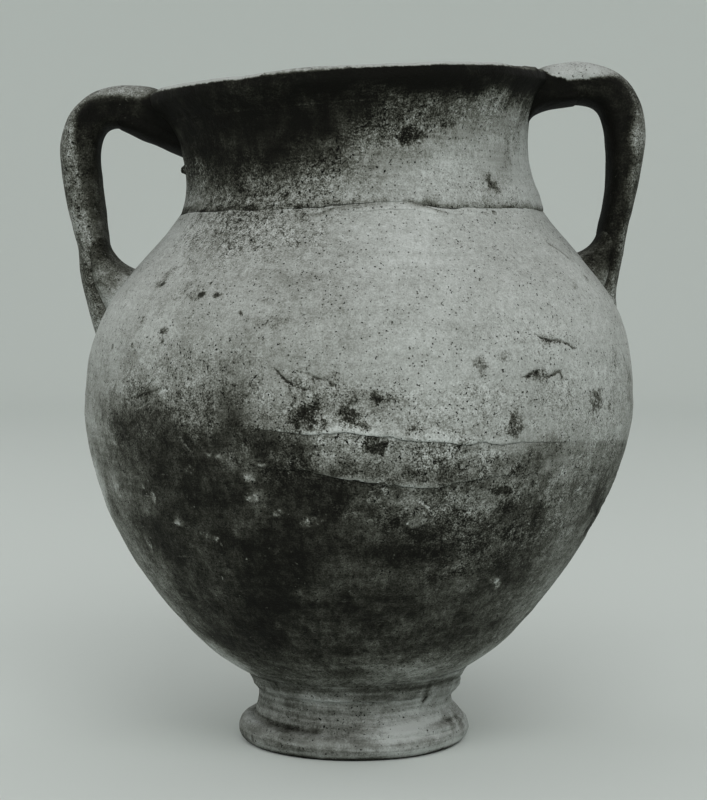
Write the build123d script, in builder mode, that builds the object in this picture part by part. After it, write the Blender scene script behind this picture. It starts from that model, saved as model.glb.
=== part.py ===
"""Footed storage jar (pithos) with two strap handles, built up in sections as a potter builds it.

Millimetres, +Z up, the origin on the floor at the centre of the foot. The handles lie along X.
Every section is a separate solid that seats on its neighbour at a flat, bevelled or luted joint.
"""

import os
from math import cos, radians, sin, tan

from build123d import *

# Foot: a hollow concave stem that stands in a rolled ring
STEM_BASE_RADIUS = 81.0
STEM_WAIST_DRAW = 4.0
STEM_WAIST_ABOVE_RING = 14.0
STEM_ABOVE_RING = 35.0
STEM_WALL = 15.0
STEM_LIFT = 1.5
FOOT_RING_PROUD = 12.0
FOOT_ROLL_RADIUS = 10.5
FOOT_REST_CUT = 0.8

# Floor of the body: a clay disc on top of the stem, with a bevelled edge for the wall
SEAT_RADIUS = 90.0
DISC_BEVEL_WIDTH = 8.0
DISC_BEVEL_HEIGHT = 3.5

# Body wall: two Bezier arcs that meet upright at the belly, set by the lengths of their end tangents
WALL = 13.0
BELLY_RADIUS = 219.5
BELLY_ABOVE_SEAT = 212.5
BELLY_TANGENT_DOWN = 45.0
BELLY_TANGENT_UP = 95.5
SEAT_RISE_ANGLE = 32.0
SEAT_TANGENT = 99.5
NECK_JOINT_RADIUS = 142.5
NECK_JOINT_ABOVE_BELLY = 156.5
SHOULDER_FALL_ANGLE = 57.0
SHOULDER_TANGENT = 66.5

# Seams of the wall, at the belly's radius: each course laps over the one below it
UPPER_SEAM_BELOW_BELLY = 21.0
BELLY_COURSE_HEIGHT = 36.0
SEAM_BEVEL_ANGLE = 32.0
SEAM_STEP = 1.2

# Neck and rim: turned as one, and set on the shoulder with a lean towards the left handle
NECK_LEAN_ANGLE = 3.7
NECK_WALL = 13.0
NECK_WAIST_DRAW = 6.0
NECK_WAIST_HEIGHT = 39.0
NECK_FLARE = 9.0
NECK_HEIGHT = 73.0
RIM_FLARE = 12.5
RIM_HEIGHT = 25.0
RIM_WIDTH = 23.0
RIM_EDGE_DEPTH = 9.0
RIM_LAP = 6.0
LIP_ROUND = 3.5

# Luting: the coils pressed along the joints, by section radius, and the band smeared over the neck's joint
FOOT_COLLAR_RADIUS = 5.0
FOOT_COLLAR_PROUD = 3.5
FOOT_INNER_COIL_RADIUS = 8.0
FLOOR_COIL_RADIUS = 7.0
NECK_BAND_ABOVE = 5.0
NECK_BAND_BELOW = 6.0
NECK_BAND_PROUD = 2.0

# Handles: straps from the rim to the shoulder, with a bend at the top and a slight knee in the limb
HANDLE_WIDTH = 54.0
HANDLE_THICKNESS = 29.0
HANDLE_ROOT_THICKNESS = 43.0
HANDLE_EDGE_ROUND = 12.0
HANDLE_BEND_RADIUS = 32.0
HANDLE_KNEE_RADIUS = 60.0
HANDLE_RISE = 7.0
HANDLE_SINK = 3.0
KNEE_DROP = 22.5
LEFT_HANDLE_STANDOFF = 68.0
LEFT_KNEE_INSET = 16.0
LEFT_LANDING_DROP = 102.5
RIGHT_HANDLE_STANDOFF = 61.0
RIGHT_KNEE_INSET = 16.0
RIGHT_LANDING_DROP = 90.0

# Wads: the clay that cradles each end of a handle, on the inside of the bend
WAD_LIP = 1.5
UPPER_WAD_SWELL = 7.0
LOWER_WAD_SWELL = 13.0
WAD_EDGE_ROUND = 9.0
WAD_COVER = 0.75

# Steps along a handle's centre line: in all, to where its taper and its top end, and under each wad
HANDLE_STEPS = 16
TAPER_STEPS = 7
TOP_STEPS = 5
UPPER_WAD_STEPS = 3
LOWER_WAD_STEPS = 5

# An edge's rounding takes no more than this share of the thickness that it rounds
EDGE_SHARE = 0.45

# Radii and heights that follow from those above
RING_TOP_HEIGHT = 2 * FOOT_ROLL_RADIUS - FOOT_REST_CUT
STEM_WAIST_RADIUS = STEM_BASE_RADIUS - STEM_WAIST_DRAW
STEM_WAIST_HEIGHT = RING_TOP_HEIGHT + STEM_WAIST_ABOVE_RING
STEM_TOP_RADIUS = SEAT_RADIUS - DISC_BEVEL_WIDTH
DISC_BOTTOM_HEIGHT = RING_TOP_HEIGHT + STEM_ABOVE_RING
SEAT_HEIGHT = DISC_BOTTOM_HEIGHT + DISC_BEVEL_HEIGHT
SEAT_INNER_RADIUS = SEAT_RADIUS - WALL * sin(radians(SEAT_RISE_ANGLE))
FLOOR_HEIGHT = SEAT_HEIGHT + WALL * cos(radians(SEAT_RISE_ANGLE))
BELLY_HEIGHT = SEAT_HEIGHT + BELLY_ABOVE_SEAT
UPPER_SEAM_HEIGHT = BELLY_HEIGHT - UPPER_SEAM_BELOW_BELLY
LOWER_SEAM_HEIGHT = UPPER_SEAM_HEIGHT - BELLY_COURSE_HEIGHT
NECK_JOINT_HEIGHT = BELLY_HEIGHT + NECK_JOINT_ABOVE_BELLY
NECK_JOINT_INNER_RADIUS = NECK_JOINT_RADIUS - WALL / sin(radians(SHOULDER_FALL_ANGLE))
NECK_WAIST_RADIUS = NECK_JOINT_RADIUS - NECK_WAIST_DRAW
NECK_TOP_RADIUS = NECK_WAIST_RADIUS + NECK_FLARE
RIM_RADIUS = NECK_TOP_RADIUS + RIM_FLARE
RIM_INNER_RADIUS = RIM_RADIUS - RIM_WIDTH
RIM_TOP_HEIGHT = NECK_HEIGHT + RIM_HEIGHT
LEAN = radians(NECK_LEAN_ANGLE)
NECK_SKIRT = NECK_JOINT_RADIUS * tan(LEAN) + NECK_WALL

# The leaning neck's sketch plane, whose local y runs up the neck's axis from the centre of its joint
NECK_PLANE = Plane((0, 0, NECK_JOINT_HEIGHT), x_dir=(cos(LEAN), 0, sin(LEAN)), z_dir=(0, -1, 0))
NECK_AXIS = Axis((0, 0, NECK_JOINT_HEIGHT), NECK_PLANE.y_dir)


def tangent_point(radius, height, length, angle):
    """The Bezier control point at that length and angle above the horizontal from an end point."""
    return (radius + length * cos(radians(angle)), height + length * sin(radians(angle)))


def lower_points(inset, end_radius, end_height):
    """Control points of the wall's lower arc, from the belly, drawn in by inset, to its seat."""
    belly = BELLY_RADIUS - inset
    return (
        (belly, BELLY_HEIGHT),
        (belly, BELLY_HEIGHT - BELLY_TANGENT_DOWN),
        tangent_point(end_radius, end_height, SEAT_TANGENT, SEAT_RISE_ANGLE),
        (end_radius, end_height),
    )


def upper_points(inset, end_radius):
    """Control points of the wall's upper arc, from the belly, drawn in by inset, to the neck joint."""
    belly = BELLY_RADIUS - inset
    return (
        (belly, BELLY_HEIGHT),
        (belly, BELLY_HEIGHT + BELLY_TANGENT_UP),
        tangent_point(end_radius, NECK_JOINT_HEIGHT, SHOULDER_TANGENT, -SHOULDER_FALL_ANGLE),
        (end_radius, NECK_JOINT_HEIGHT),
    )


def wall_course(step, low, high):
    """The course of the body wall between two seams, with its outside drawn in by step at the belly."""
    reach = BELLY_RADIUS + WALL
    slope = tan(radians(SEAM_BEVEL_ANGLE))
    axis_rise = BELLY_RADIUS * slope
    edge_fall = WALL * slope
    with BuildPart() as course:
        with BuildSketch(Plane.XZ):
            with BuildLine():
                outer_low = Bezier(*lower_points(step, SEAT_RADIUS, SEAT_HEIGHT))
                outer_high = Bezier(*upper_points(step, NECK_JOINT_RADIUS))
                inner_low = Bezier(*lower_points(WALL, SEAT_INNER_RADIUS, FLOOR_HEIGHT))
                inner_high = Bezier(*upper_points(WALL, NECK_JOINT_INNER_RADIUS))
                Line(outer_low @ 1, inner_low @ 1)
                Line(outer_high @ 1, inner_high @ 1)
            make_face()
            with BuildLine():
                Polyline(
                    (0, low + axis_rise),
                    (reach, low - edge_fall),
                    (reach, high - edge_fall),
                    (0, high + axis_rise),
                    close=True,
                )
            make_face(mode=Mode.INTERSECT)
        revolve(axis=Axis.Z)
    return course.part


def luting_coil(radius, height, section_radius, neighbours):
    """A ring of clay with a round section, fitted against the solids that it joins."""
    with BuildPart() as coil:
        with BuildSketch(Plane.XZ):
            with Locations((radius, height)):
                Circle(section_radius)
        revolve(axis=Axis.Z)
        for neighbour in neighbours:
            add(neighbour, mode=Mode.SUBTRACT)
    return coil.part


def shoulder_radius(height):
    """The shoulder's outer radius at a height between the belly and the neck joint, by bisection."""
    shoulder_arc = Bezier(*upper_points(0, NECK_JOINT_RADIUS), mode=Mode.PRIVATE)
    low, high = 0.0, 1.0
    for _ in range(40):
        middle = (low + high) / 2
        if shoulder_arc.position_at(middle).Y < height:
            low = middle
        else:
            high = middle
    return shoulder_arc.position_at(low).X


def handle_path(side, standoff, knee_inset, landing_drop):
    """A handle's centre line: out from inside the neck, round the bend and down into the shoulder."""
    root_radius = NECK_WAIST_RADIUS - NECK_WALL
    root = NECK_PLANE.from_local_coords((side * root_radius, RIM_TOP_HEIGHT - HANDLE_ROOT_THICKNESS / 2))
    lip = NECK_PLANE.from_local_coords((side * RIM_RADIUS, RIM_TOP_HEIGHT))
    corner_radius = RIM_RADIUS + standoff
    landing_height = NECK_JOINT_HEIGHT - landing_drop
    landing_radius = shoulder_radius(landing_height) - HANDLE_THICKNESS / 2 - HANDLE_SINK
    with BuildLine(Plane.XZ) as path:
        FilletPolyline(
            (root.X, root.Z),
            (side * corner_radius, lip.Z + HANDLE_RISE - handle_thickness(TOP_STEPS) / 2),
            (side * (corner_radius - knee_inset), NECK_JOINT_HEIGHT - KNEE_DROP),
            (side * landing_radius, landing_height),
            radius=(HANDLE_BEND_RADIUS, HANDLE_KNEE_RADIUS),
        )
    return path.wire()


def handle_thickness(step):
    """The strap's thickness at a step along the handle: it tapers from the root to the limb."""
    taper = max(0.0, 1 - step / TAPER_STEPS)
    return HANDLE_THICKNESS + (HANDLE_ROOT_THICKNESS - HANDLE_THICKNESS) * taper


def section_plane(path, side, step):
    """The plane square to a handle at a step. Its local y points to the inside of the bend."""
    place = step / HANDLE_STEPS
    return Plane(path.position_at(place), x_dir=(0, -side, 0), z_dir=path.tangent_at(place))


def strap(path, side, vessel):
    """A strap handle, with both ends cut to the outside of the vessel."""
    with BuildPart() as handle:
        for step in range(HANDLE_STEPS + 1):
            with BuildSketch(section_plane(path, side, step)):
                thickness = handle_thickness(step)
                edge_round = min(HANDLE_EDGE_ROUND, EDGE_SHARE * thickness)
                RectangleRounded(HANDLE_WIDTH, thickness, edge_round)
        loft(ruled=True)
        add(vessel, mode=Mode.SUBTRACT)
    return handle.part


def wad(path, side, thin_step, thick_step, swell, neighbours):
    """A cradle of clay under a handle's end, which swells from one step of the handle to another."""
    direction = 1 if thick_step > thin_step else -1
    with BuildPart() as cradle:
        for step in range(thin_step, thick_step + direction, direction):
            grow = WAD_LIP + swell * ((step - thin_step) / (thick_step - thin_step)) ** 2
            thickness = handle_thickness(step)
            depth = WAD_COVER * thickness + grow
            edge_round = min(WAD_EDGE_ROUND, EDGE_SHARE * depth)
            with BuildSketch(section_plane(path, side, step)):
                with Locations((0, thickness / 2 + grow - depth / 2)):
                    RectangleRounded(HANDLE_WIDTH + 2 * grow, depth, edge_round)
        loft(ruled=True)
        for neighbour in neighbours:
            add(neighbour, mode=Mode.SUBTRACT)
    return cradle.part


# Foot ring: a rolled coil, flat where it stands and where it hugs the stem
with BuildPart() as foot_ring:
    with BuildSketch(Plane.XZ):
        roll_center = STEM_BASE_RADIUS + FOOT_RING_PROUD - FOOT_ROLL_RADIUS
        with Locations((roll_center, RING_TOP_HEIGHT - FOOT_ROLL_RADIUS)):
            Circle(FOOT_ROLL_RADIUS)
        with Locations((STEM_BASE_RADIUS, 0)):
            Rectangle(
                FOOT_RING_PROUD, RING_TOP_HEIGHT, align=(Align.MIN, Align.MIN), mode=Mode.INTERSECT
            )
    revolve(axis=Axis.Z)

# Foot stem: a hollow concave stem, clear of the floor inside its ring
with BuildPart() as foot_stem:
    with BuildSketch(Plane.XZ):
        with BuildLine():
            outside = ThreePointArc(
                (STEM_BASE_RADIUS, RING_TOP_HEIGHT),
                (STEM_WAIST_RADIUS, STEM_WAIST_HEIGHT),
                (STEM_TOP_RADIUS, DISC_BOTTOM_HEIGHT),
            )
            inside = ThreePointArc(
                (STEM_BASE_RADIUS - STEM_WALL, STEM_LIFT),
                (STEM_WAIST_RADIUS - STEM_WALL, STEM_WAIST_HEIGHT),
                (STEM_TOP_RADIUS - STEM_WALL, DISC_BOTTOM_HEIGHT),
            )
            Line(outside @ 1, inside @ 1)
            Polyline(outside @ 0, (STEM_BASE_RADIUS, STEM_LIFT), inside @ 0)
        make_face()
    revolve(axis=Axis.Z)

# Base disc: the floor that the body was begun on
with BuildPart() as base_disc:
    with BuildSketch(Plane.XZ):
        with BuildLine():
            Polyline(
                (0, DISC_BOTTOM_HEIGHT),
                (STEM_TOP_RADIUS, DISC_BOTTOM_HEIGHT),
                (SEAT_RADIUS, SEAT_HEIGHT),
                (SEAT_INNER_RADIUS, FLOOR_HEIGHT),
                (0, FLOOR_HEIGHT),
                close=True,
            )
        make_face()
    revolve(axis=Axis.Z)

# Body wall: the bowl, one narrow course at the belly, and the shoulder dome
lower_body = wall_course(2 * SEAM_STEP, -BELLY_RADIUS, LOWER_SEAM_HEIGHT)
belly_course = wall_course(SEAM_STEP, LOWER_SEAM_HEIGHT, UPPER_SEAM_HEIGHT)
shoulder = wall_course(0, UPPER_SEAM_HEIGHT, NECK_JOINT_HEIGHT + BELLY_RADIUS)

# Outside of the neck and rim, in the leaning plane
with BuildLine() as neck_outside:
    neck_arc = ThreePointArc(
        (NECK_JOINT_RADIUS, 0),
        (NECK_WAIST_RADIUS, NECK_WAIST_HEIGHT),
        (NECK_TOP_RADIUS, NECK_HEIGHT),
    )
    Line((NECK_JOINT_RADIUS, -NECK_SKIRT), neck_arc @ 0)
with BuildLine() as rim_outside:
    rim_flare = TangentArc(
        neck_arc @ 1, (RIM_RADIUS, RIM_TOP_HEIGHT - RIM_EDGE_DEPTH), tangent=neck_arc % 1
    )
    rim_edge = Line(rim_flare @ 1, (RIM_RADIUS, RIM_TOP_HEIGHT - LIP_ROUND))

# Neck: a leaning collar, cut level where it sits on the shoulder
with BuildPart() as neck:
    with BuildSketch(NECK_PLANE):
        with BuildLine():
            add(neck_outside.line)
            neck_inside = ThreePointArc(
                (NECK_JOINT_RADIUS - NECK_WALL, 0),
                (NECK_WAIST_RADIUS - NECK_WALL, NECK_WAIST_HEIGHT),
                (NECK_TOP_RADIUS - NECK_WALL, NECK_HEIGHT + RIM_LAP),
            )
            Line(neck_arc @ 1, neck_inside @ 1)
            Polyline(
                (NECK_JOINT_RADIUS, -NECK_SKIRT),
                (NECK_JOINT_RADIUS - NECK_WALL, -NECK_SKIRT),
                neck_inside @ 0,
            )
        make_face()
    revolve(axis=NECK_AXIS)
    split(bisect_by=Plane.XY.offset(NECK_JOINT_HEIGHT), keep=Keep.TOP)

# Rim: a flaring lip with a flat top, lapped over the neck's outer edge
with BuildPart() as rim:
    with BuildSketch(NECK_PLANE):
        with BuildLine():
            add(rim_outside.line)
            lip_outer = TangentArc(
                rim_edge @ 1, (RIM_RADIUS - LIP_ROUND, RIM_TOP_HEIGHT), tangent=rim_edge % 1
            )
            lip_top = Line(lip_outer @ 1, (RIM_INNER_RADIUS + LIP_ROUND, RIM_TOP_HEIGHT))
            lip_inner = TangentArc(
                lip_top @ 1, (RIM_INNER_RADIUS, RIM_TOP_HEIGHT - LIP_ROUND), tangent=lip_top % 1
            )
            Polyline(lip_inner @ 1, (NECK_TOP_RADIUS - NECK_WALL, NECK_HEIGHT + RIM_LAP), neck_arc @ 1)
        make_face()
    revolve(axis=NECK_AXIS)

# Filled outside of the vessel, carried straight up past the lip: what the handles are cut to
with BuildPart() as vessel:
    with BuildSketch(Plane.XZ):
        with BuildLine():
            low_arc = Bezier(*lower_points(0, SEAT_RADIUS, SEAT_HEIGHT))
            high_arc = Bezier(*upper_points(0, NECK_JOINT_RADIUS))
            Polyline(low_arc @ 1, (0, SEAT_HEIGHT), (0, NECK_JOINT_HEIGHT), high_arc @ 1)
        make_face()
    revolve(axis=Axis.Z)
    with BuildSketch(NECK_PLANE):
        with BuildLine():
            add(neck_outside.line)
            add(rim_outside.line)
            Polyline(
                rim_edge @ 1,
                (RIM_RADIUS, RIM_TOP_HEIGHT + HANDLE_ROOT_THICKNESS),
                (0, RIM_TOP_HEIGHT + HANDLE_ROOT_THICKNESS),
                (0, -NECK_SKIRT),
                (NECK_JOINT_RADIUS, -NECK_SKIRT),
            )
        make_face()
    revolve(axis=NECK_AXIS)

# Neck band: clay smeared over the outside of the neck's joint
with BuildPart() as neck_band:
    with BuildSketch(Plane.XZ):
        band_top = NECK_JOINT_HEIGHT + NECK_BAND_ABOVE
        band_bottom = NECK_JOINT_HEIGHT - NECK_BAND_BELOW
        with BuildLine():
            Polyline(
                (NECK_WAIST_RADIUS, band_bottom),
                (shoulder_radius(band_bottom) + NECK_BAND_PROUD, band_bottom),
                (NECK_JOINT_RADIUS + NECK_BAND_PROUD, band_top),
                (NECK_WAIST_RADIUS, band_top),
                close=True,
            )
        make_face()
    revolve(axis=Axis.Z)
    add(vessel.part, mode=Mode.SUBTRACT)

pieces = {
    "foot_ring": foot_ring.part,
    "foot_stem": foot_stem.part,
    "base_disc": base_disc.part,
    "lower_body": lower_body,
    "belly_course": belly_course,
    "shoulder": shoulder,
    "neck": neck.part,
    "rim": rim.part,
    "neck_band": neck_band.part,
}

# Luting coils: outside and inside the foot's joint, and in the corner of the floor
pieces["foot_collar"] = luting_coil(
    STEM_TOP_RADIUS - FOOT_COLLAR_RADIUS + FOOT_COLLAR_PROUD,
    DISC_BOTTOM_HEIGHT,
    FOOT_COLLAR_RADIUS,
    (foot_stem.part, base_disc.part, lower_body),
)
pieces["foot_inner_coil"] = luting_coil(
    STEM_TOP_RADIUS - STEM_WALL, DISC_BOTTOM_HEIGHT, FOOT_INNER_COIL_RADIUS, (foot_stem.part, base_disc.part)
)
pieces["floor_coil"] = luting_coil(
    SEAT_INNER_RADIUS, FLOOR_HEIGHT, FLOOR_COIL_RADIUS, (base_disc.part, lower_body)
)

# Handles, each with a wad of clay at both ends
for name, side, standoff, knee_inset, landing_drop in (
    ("left_handle", -1, LEFT_HANDLE_STANDOFF, LEFT_KNEE_INSET, LEFT_LANDING_DROP),
    ("right_handle", 1, RIGHT_HANDLE_STANDOFF, RIGHT_KNEE_INSET, RIGHT_LANDING_DROP),
):
    path = handle_path(side, standoff, knee_inset, landing_drop)
    handle = strap(path, side, vessel.part)
    fitted_to = (handle, vessel.part)
    pieces[name] = handle
    pieces[name + "_upper_wad"] = wad(path, side, UPPER_WAD_STEPS, 0, UPPER_WAD_SWELL, fitted_to)
    lower_wad_step = HANDLE_STEPS - LOWER_WAD_STEPS
    pieces[name + "_lower_wad"] = wad(path, side, lower_wad_step, HANDLE_STEPS, LOWER_WAD_SWELL, fitted_to)

os.makedirs("parts", exist_ok=True)
for name, piece in pieces.items():
    piece.label = name
    export_step(piece, f"parts/{name}.step")
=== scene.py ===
"""Dresses the footed clay jar: worn hand-built clay on every piece, a pale studio and a camera.

Shapes are worked out in millimetres and turned into metres when a mesh is made. An angle on the jar is in
degrees, 0 at the front and positive to the right as the camera sees it. A table of knots holds places, such
as angles or heights, each with the value there. A table of marks holds the angle, the height, the half sizes
across and up, and the strength of each mark. A table of noises holds the amount, cell and seed of each one.
A window holds two ranges: where a zone sets in, and where it ends.
"""

import itertools
import math

import bpy
import numpy as np
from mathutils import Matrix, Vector


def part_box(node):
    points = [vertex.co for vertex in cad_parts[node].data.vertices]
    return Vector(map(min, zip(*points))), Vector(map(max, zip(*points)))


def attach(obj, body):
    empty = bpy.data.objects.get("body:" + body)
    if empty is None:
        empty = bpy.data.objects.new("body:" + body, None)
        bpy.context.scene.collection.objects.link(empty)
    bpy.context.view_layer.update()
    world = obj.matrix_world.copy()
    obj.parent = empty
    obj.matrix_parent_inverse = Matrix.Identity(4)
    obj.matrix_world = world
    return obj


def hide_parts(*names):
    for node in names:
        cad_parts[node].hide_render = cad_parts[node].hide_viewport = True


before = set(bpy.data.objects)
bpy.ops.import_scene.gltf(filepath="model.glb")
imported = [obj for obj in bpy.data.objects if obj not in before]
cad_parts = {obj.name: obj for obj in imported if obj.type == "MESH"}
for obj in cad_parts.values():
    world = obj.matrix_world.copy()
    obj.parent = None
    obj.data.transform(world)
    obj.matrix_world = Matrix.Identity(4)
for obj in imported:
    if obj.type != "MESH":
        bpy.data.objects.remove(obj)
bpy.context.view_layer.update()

MM = 0.001

# Fineness of the meshes: columns round the jar, the spacing of rows, rows beside an edge and across the wall,
# and stations along the handles
COLUMNS = 600
OUTER_ROW = 2.0
INNER_ROW = 6.0
HIDDEN_ROW = 4.0
COARSE_ROW = 3.0
EDGE_ROWS = (0.0, 0.5, 1.2, 2.2)
CROSS_SHARES = np.array([0.25, 0.5, 0.75])[:, None]
STRAP_STATIONS = 150
WAD_STATIONS = 44
STRAP_COLUMNS = 84


def low(node):
    """A node's lowest corner in millimetres."""
    return np.array(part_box(node)[0]) / MM


def high(node):
    """A node's highest corner in millimetres."""
    return np.array(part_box(node)[1]) / MM


# Heights and radii of the jar, from the frame
RING_RADIUS = high("foot_ring")[0]
RING_TOP = high("foot_ring")[2]
STEM_FOOT = low("foot_stem")[2]
STEM_TOP = high("foot_stem")[2]
STEM_TOP_RADIUS = high("foot_stem")[0]
SEAT_HEIGHT = low("lower_body")[2]
SEAT_RADIUS = high("base_disc")[0]
FLOOR_HEIGHT = high("base_disc")[2]
BELLY_RADIUS = high("shoulder")[1]
JOINT_HEIGHT = high("shoulder")[2]
RIM_REACH = high("rim")[1]

# Shape of the wall between those: two Bezier arcs that meet at the belly
WALL = 13.0
BELLY_HEIGHT = SEAT_HEIGHT + 212.5
BELLY_TANGENT_DOWN = 45.0
BELLY_TANGENT_UP = 95.5
SEAT_RISE = math.radians(32.0)
SEAT_TANGENT = 99.5
JOINT_RADIUS = 142.5
SHOULDER_FALL = math.radians(57.0)
SHOULDER_TANGENT = 66.5

# Neck and rim, in the leaning frame of the neck
LEAN = math.radians(3.7)
NECK_WAIST = (136.5, 39.0)
NECK_TOP = (145.5, 73.0)
NECK_INNER_TOP = NECK_TOP[1] + 6.0
RIM_TOP = 98.0
RIM_EDGE = 89.0
RIM_INNER_RADIUS = 135.0
LIP_ROUND = 3.5
FLARE_FOOT_PULL = (3.4, 6.0)
FLARE_EDGE_PULL = (4.0, 6.0)

# How the jar bends to the right of its axis, by height
SWAY = (
    (0, -2.8), (40, -2.8), (70, -3.4), (125, -4.2), (190, -2.0), (271, 1.6), (350, 2.2), (428, 2.0),
    (530, -1.5),
)

# How much fuller the wall is than its arcs, by height, and the foot's stem, round the jar
FULLER = (
    (58, 0.0), (68, 1.8), (80, 2.6), (100, 1.4), (125, 0.8), (150, 1.6), (185, 1.3), (215, 0.8), (240, 0.0),
    (430, 0.0),
)
STEM_FULLER = ((-180, 0.0), (10, 0.0), (45, 0.6), (80, 1.0), (100, 1.0), (140, 0.0))

# Heights of the two seams at the belly, which wander round the jar
UPPER_SEAM = (
    (-180, 238), (-130, 250), (-80, 262), (-40, 268), (-15, 267), (-9, 264), (-3, 266), (10, 261), (20, 257),
    (36, 255), (60, 250), (85, 244), (130, 234),
)
LOWER_SEAM = (
    (-180, 205), (-120, 214), (-60, 228), (-25, 238), (-8, 238), (-2, 232), (5, 228), (13, 225.5), (20, 229),
    (30, 232), (50, 222), (80, 210), (130, 202),
)

# How far the neck's joint lies above its height in the frame, and how much slimmer the shoulder is under it,
# which sets in between two heights
JOINT_RISE = (
    (-180, -5.0), (-120, -7.0), (-90, -7.0), (-60, -5.7), (-44, -4.8), (-32, -5.4), (-22, -3.9), (-13, -3.0),
    (-4, -0.4), (5, 0.4), (14, 0.5), (20, -0.8), (26, -2.9), (36, -3.7), (47, -3.8), (63, -3.8), (100, -3.8),
)
SHOULDER_TRIM = (
    (-180, 0.5), (-120, 2.0), (-85, 3.4), (-60, 2.0), (-35, 0.6), (0, 0.0), (60, 0.0), (120, 0.0),
)
TRIM_RISE = (300.0, 400.0)


# Numbers and noise

HASH_FACTORS = (374761393, 668265263, 974634777)
HASH_SEED = 40503
HASH_MIX = 1274126177
HASH_BITS = 0xFFFFFFFF
SEED_SHIFT = 17.37
CLOUD_OCTAVES = 3
CLOUD_FADE = 0.55
CLOUD_STEP = 2.1
KNOT_STEP = 0.5
KNOT_BLUR = 7
BEZIER_POINTS = 240
ARC_POINTS = 60
SPLINE_POINTS = 1200


def smooth(start, end, value):
    """0 before start, 1 after end, and an S curve between them."""
    share = np.clip((value - start) / (end - start), 0.0, 1.0)
    return share * share * (3.0 - 2.0 * share)


def bump(value, middle, width):
    """A bell of height 1 round the middle."""
    return np.exp(-((value - middle) / width) ** 2)


def within(value, window):
    """1 inside a window and 0 outside it, with S curves between."""
    (start, full), (last, end) = window
    return smooth(start, full, value) * smooth(end, last, value)


def noise(points, cell, seed):
    """Smooth noise from -1 to 1 with features about one cell wide, from a hash of each cell's corners."""
    scaled = points / cell + seed * SEED_SHIFT
    base = np.floor(scaled).astype(np.int64)
    part = scaled - base
    fade = part * part * part * (part * (part * 6.0 - 15.0) + 10.0)
    total = np.zeros(points.shape[:-1])
    for corner in itertools.product((0, 1), repeat=3):
        mixed = seed * HASH_SEED
        weight = 1.0
        for axis in range(3):
            mixed = mixed + (base[..., axis] + corner[axis]) * HASH_FACTORS[axis]
            weight = weight * (fade[..., axis] if corner[axis] else 1.0 - fade[..., axis])
        mixed = mixed & HASH_BITS
        mixed = ((mixed ^ (mixed >> 13)) * HASH_MIX) & HASH_BITS
        total += weight * (((mixed ^ (mixed >> 16)) & 0xFFFF) / 32767.5 - 1.0)
    return total


def layers(points, noises, shift=0):
    """The sum of a table of noises, with their seeds shifted."""
    return sum(amount * noise(points, cell, seed + shift) for amount, cell, seed in noises)


def clouds(points, cell, seed):
    """Noise with finer and finer detail laid over it."""
    octaves = range(CLOUD_OCTAVES)
    return layers(points, [(CLOUD_FADE ** step, cell / CLOUD_STEP ** step, seed + step) for step in octaves])


def around(angle, knots):
    """A smooth closed curve through knots of angle and value."""
    fine = np.arange(-180.0, 180.0, KNOT_STEP)
    knot_angles, values = np.array(knots, float).T
    line = np.interp(fine, knot_angles, values, period=360.0)
    window = np.hanning(2 * KNOT_BLUR + 1)
    window /= window.sum()
    padded = np.concatenate([line[-KNOT_BLUR:], line, line[:KNOT_BLUR]])
    return np.interp(angle, fine, np.convolve(padded, window, mode="valid"), period=360.0)


def along(value, knots):
    """A smooth line through knots of place and value."""
    places, values = np.array(knots, float).T
    slopes = np.gradient(values, places)
    value = np.clip(value, places[0], places[-1])
    index = np.clip(np.searchsorted(places, value) - 1, 0, len(places) - 2)
    gap = places[index + 1] - places[index]
    t = (value - places[index]) / gap
    start = (1 + 2 * t) * (1 - t) ** 2 * values[index] + t * (1 - t) ** 2 * gap * slopes[index]
    return start + t * t * (3 - 2 * t) * values[index + 1] + t * t * (t - 1) * gap * slopes[index + 1]


def bezier(points):
    """Points on a cubic Bezier."""
    share = np.linspace(0.0, 1.0, BEZIER_POINTS)[:, None]
    rest = 1.0 - share
    a, b, c, d = np.array(points, float)
    return rest ** 3 * a + 3 * rest * rest * share * b + 3 * rest * share * share * c + share ** 3 * d


def spline(points, at):
    """A smooth line through points, at places counted in points."""
    points = np.asarray(points, float)
    padded = np.vstack([2 * points[0] - points[1], points, 2 * points[-1] - points[-2]])
    index = np.clip(np.floor(at).astype(int), 0, len(points) - 2)
    share = (at - index)[:, None]
    a, b, c, d = (padded[index + shift] for shift in range(4))
    curve = (2 * a - 5 * b + 4 * c - d) * share ** 2 + (3 * b - a - 3 * c + d) * share ** 3
    return 0.5 * (2 * b + (c - a) * share + curve)


def line_run(points):
    """How far along a line of points each of them lies."""
    return np.concatenate([[0.0], np.cumsum(np.hypot(*np.diff(points, axis=0).T))])


def resample(points, spacing):
    """Evenly spaced points along a line of points, both ends kept."""
    points = np.asarray(points, float)
    run = line_run(points)
    at = np.linspace(0.0, run[-1], max(2, int(round(run[-1] / spacing)) + 1))
    return np.stack([np.interp(at, run, points[:, axis]) for axis in range(2)], axis=1)


def even_places(points, count):
    """Places along a line of points that are evenly spaced, counted in points."""
    fine = np.linspace(0.0, len(points) - 1.0, SPLINE_POINTS)
    run = line_run(spline(points, fine))
    return np.interp(np.linspace(0.0, run[-1], count), run, fine)


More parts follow.
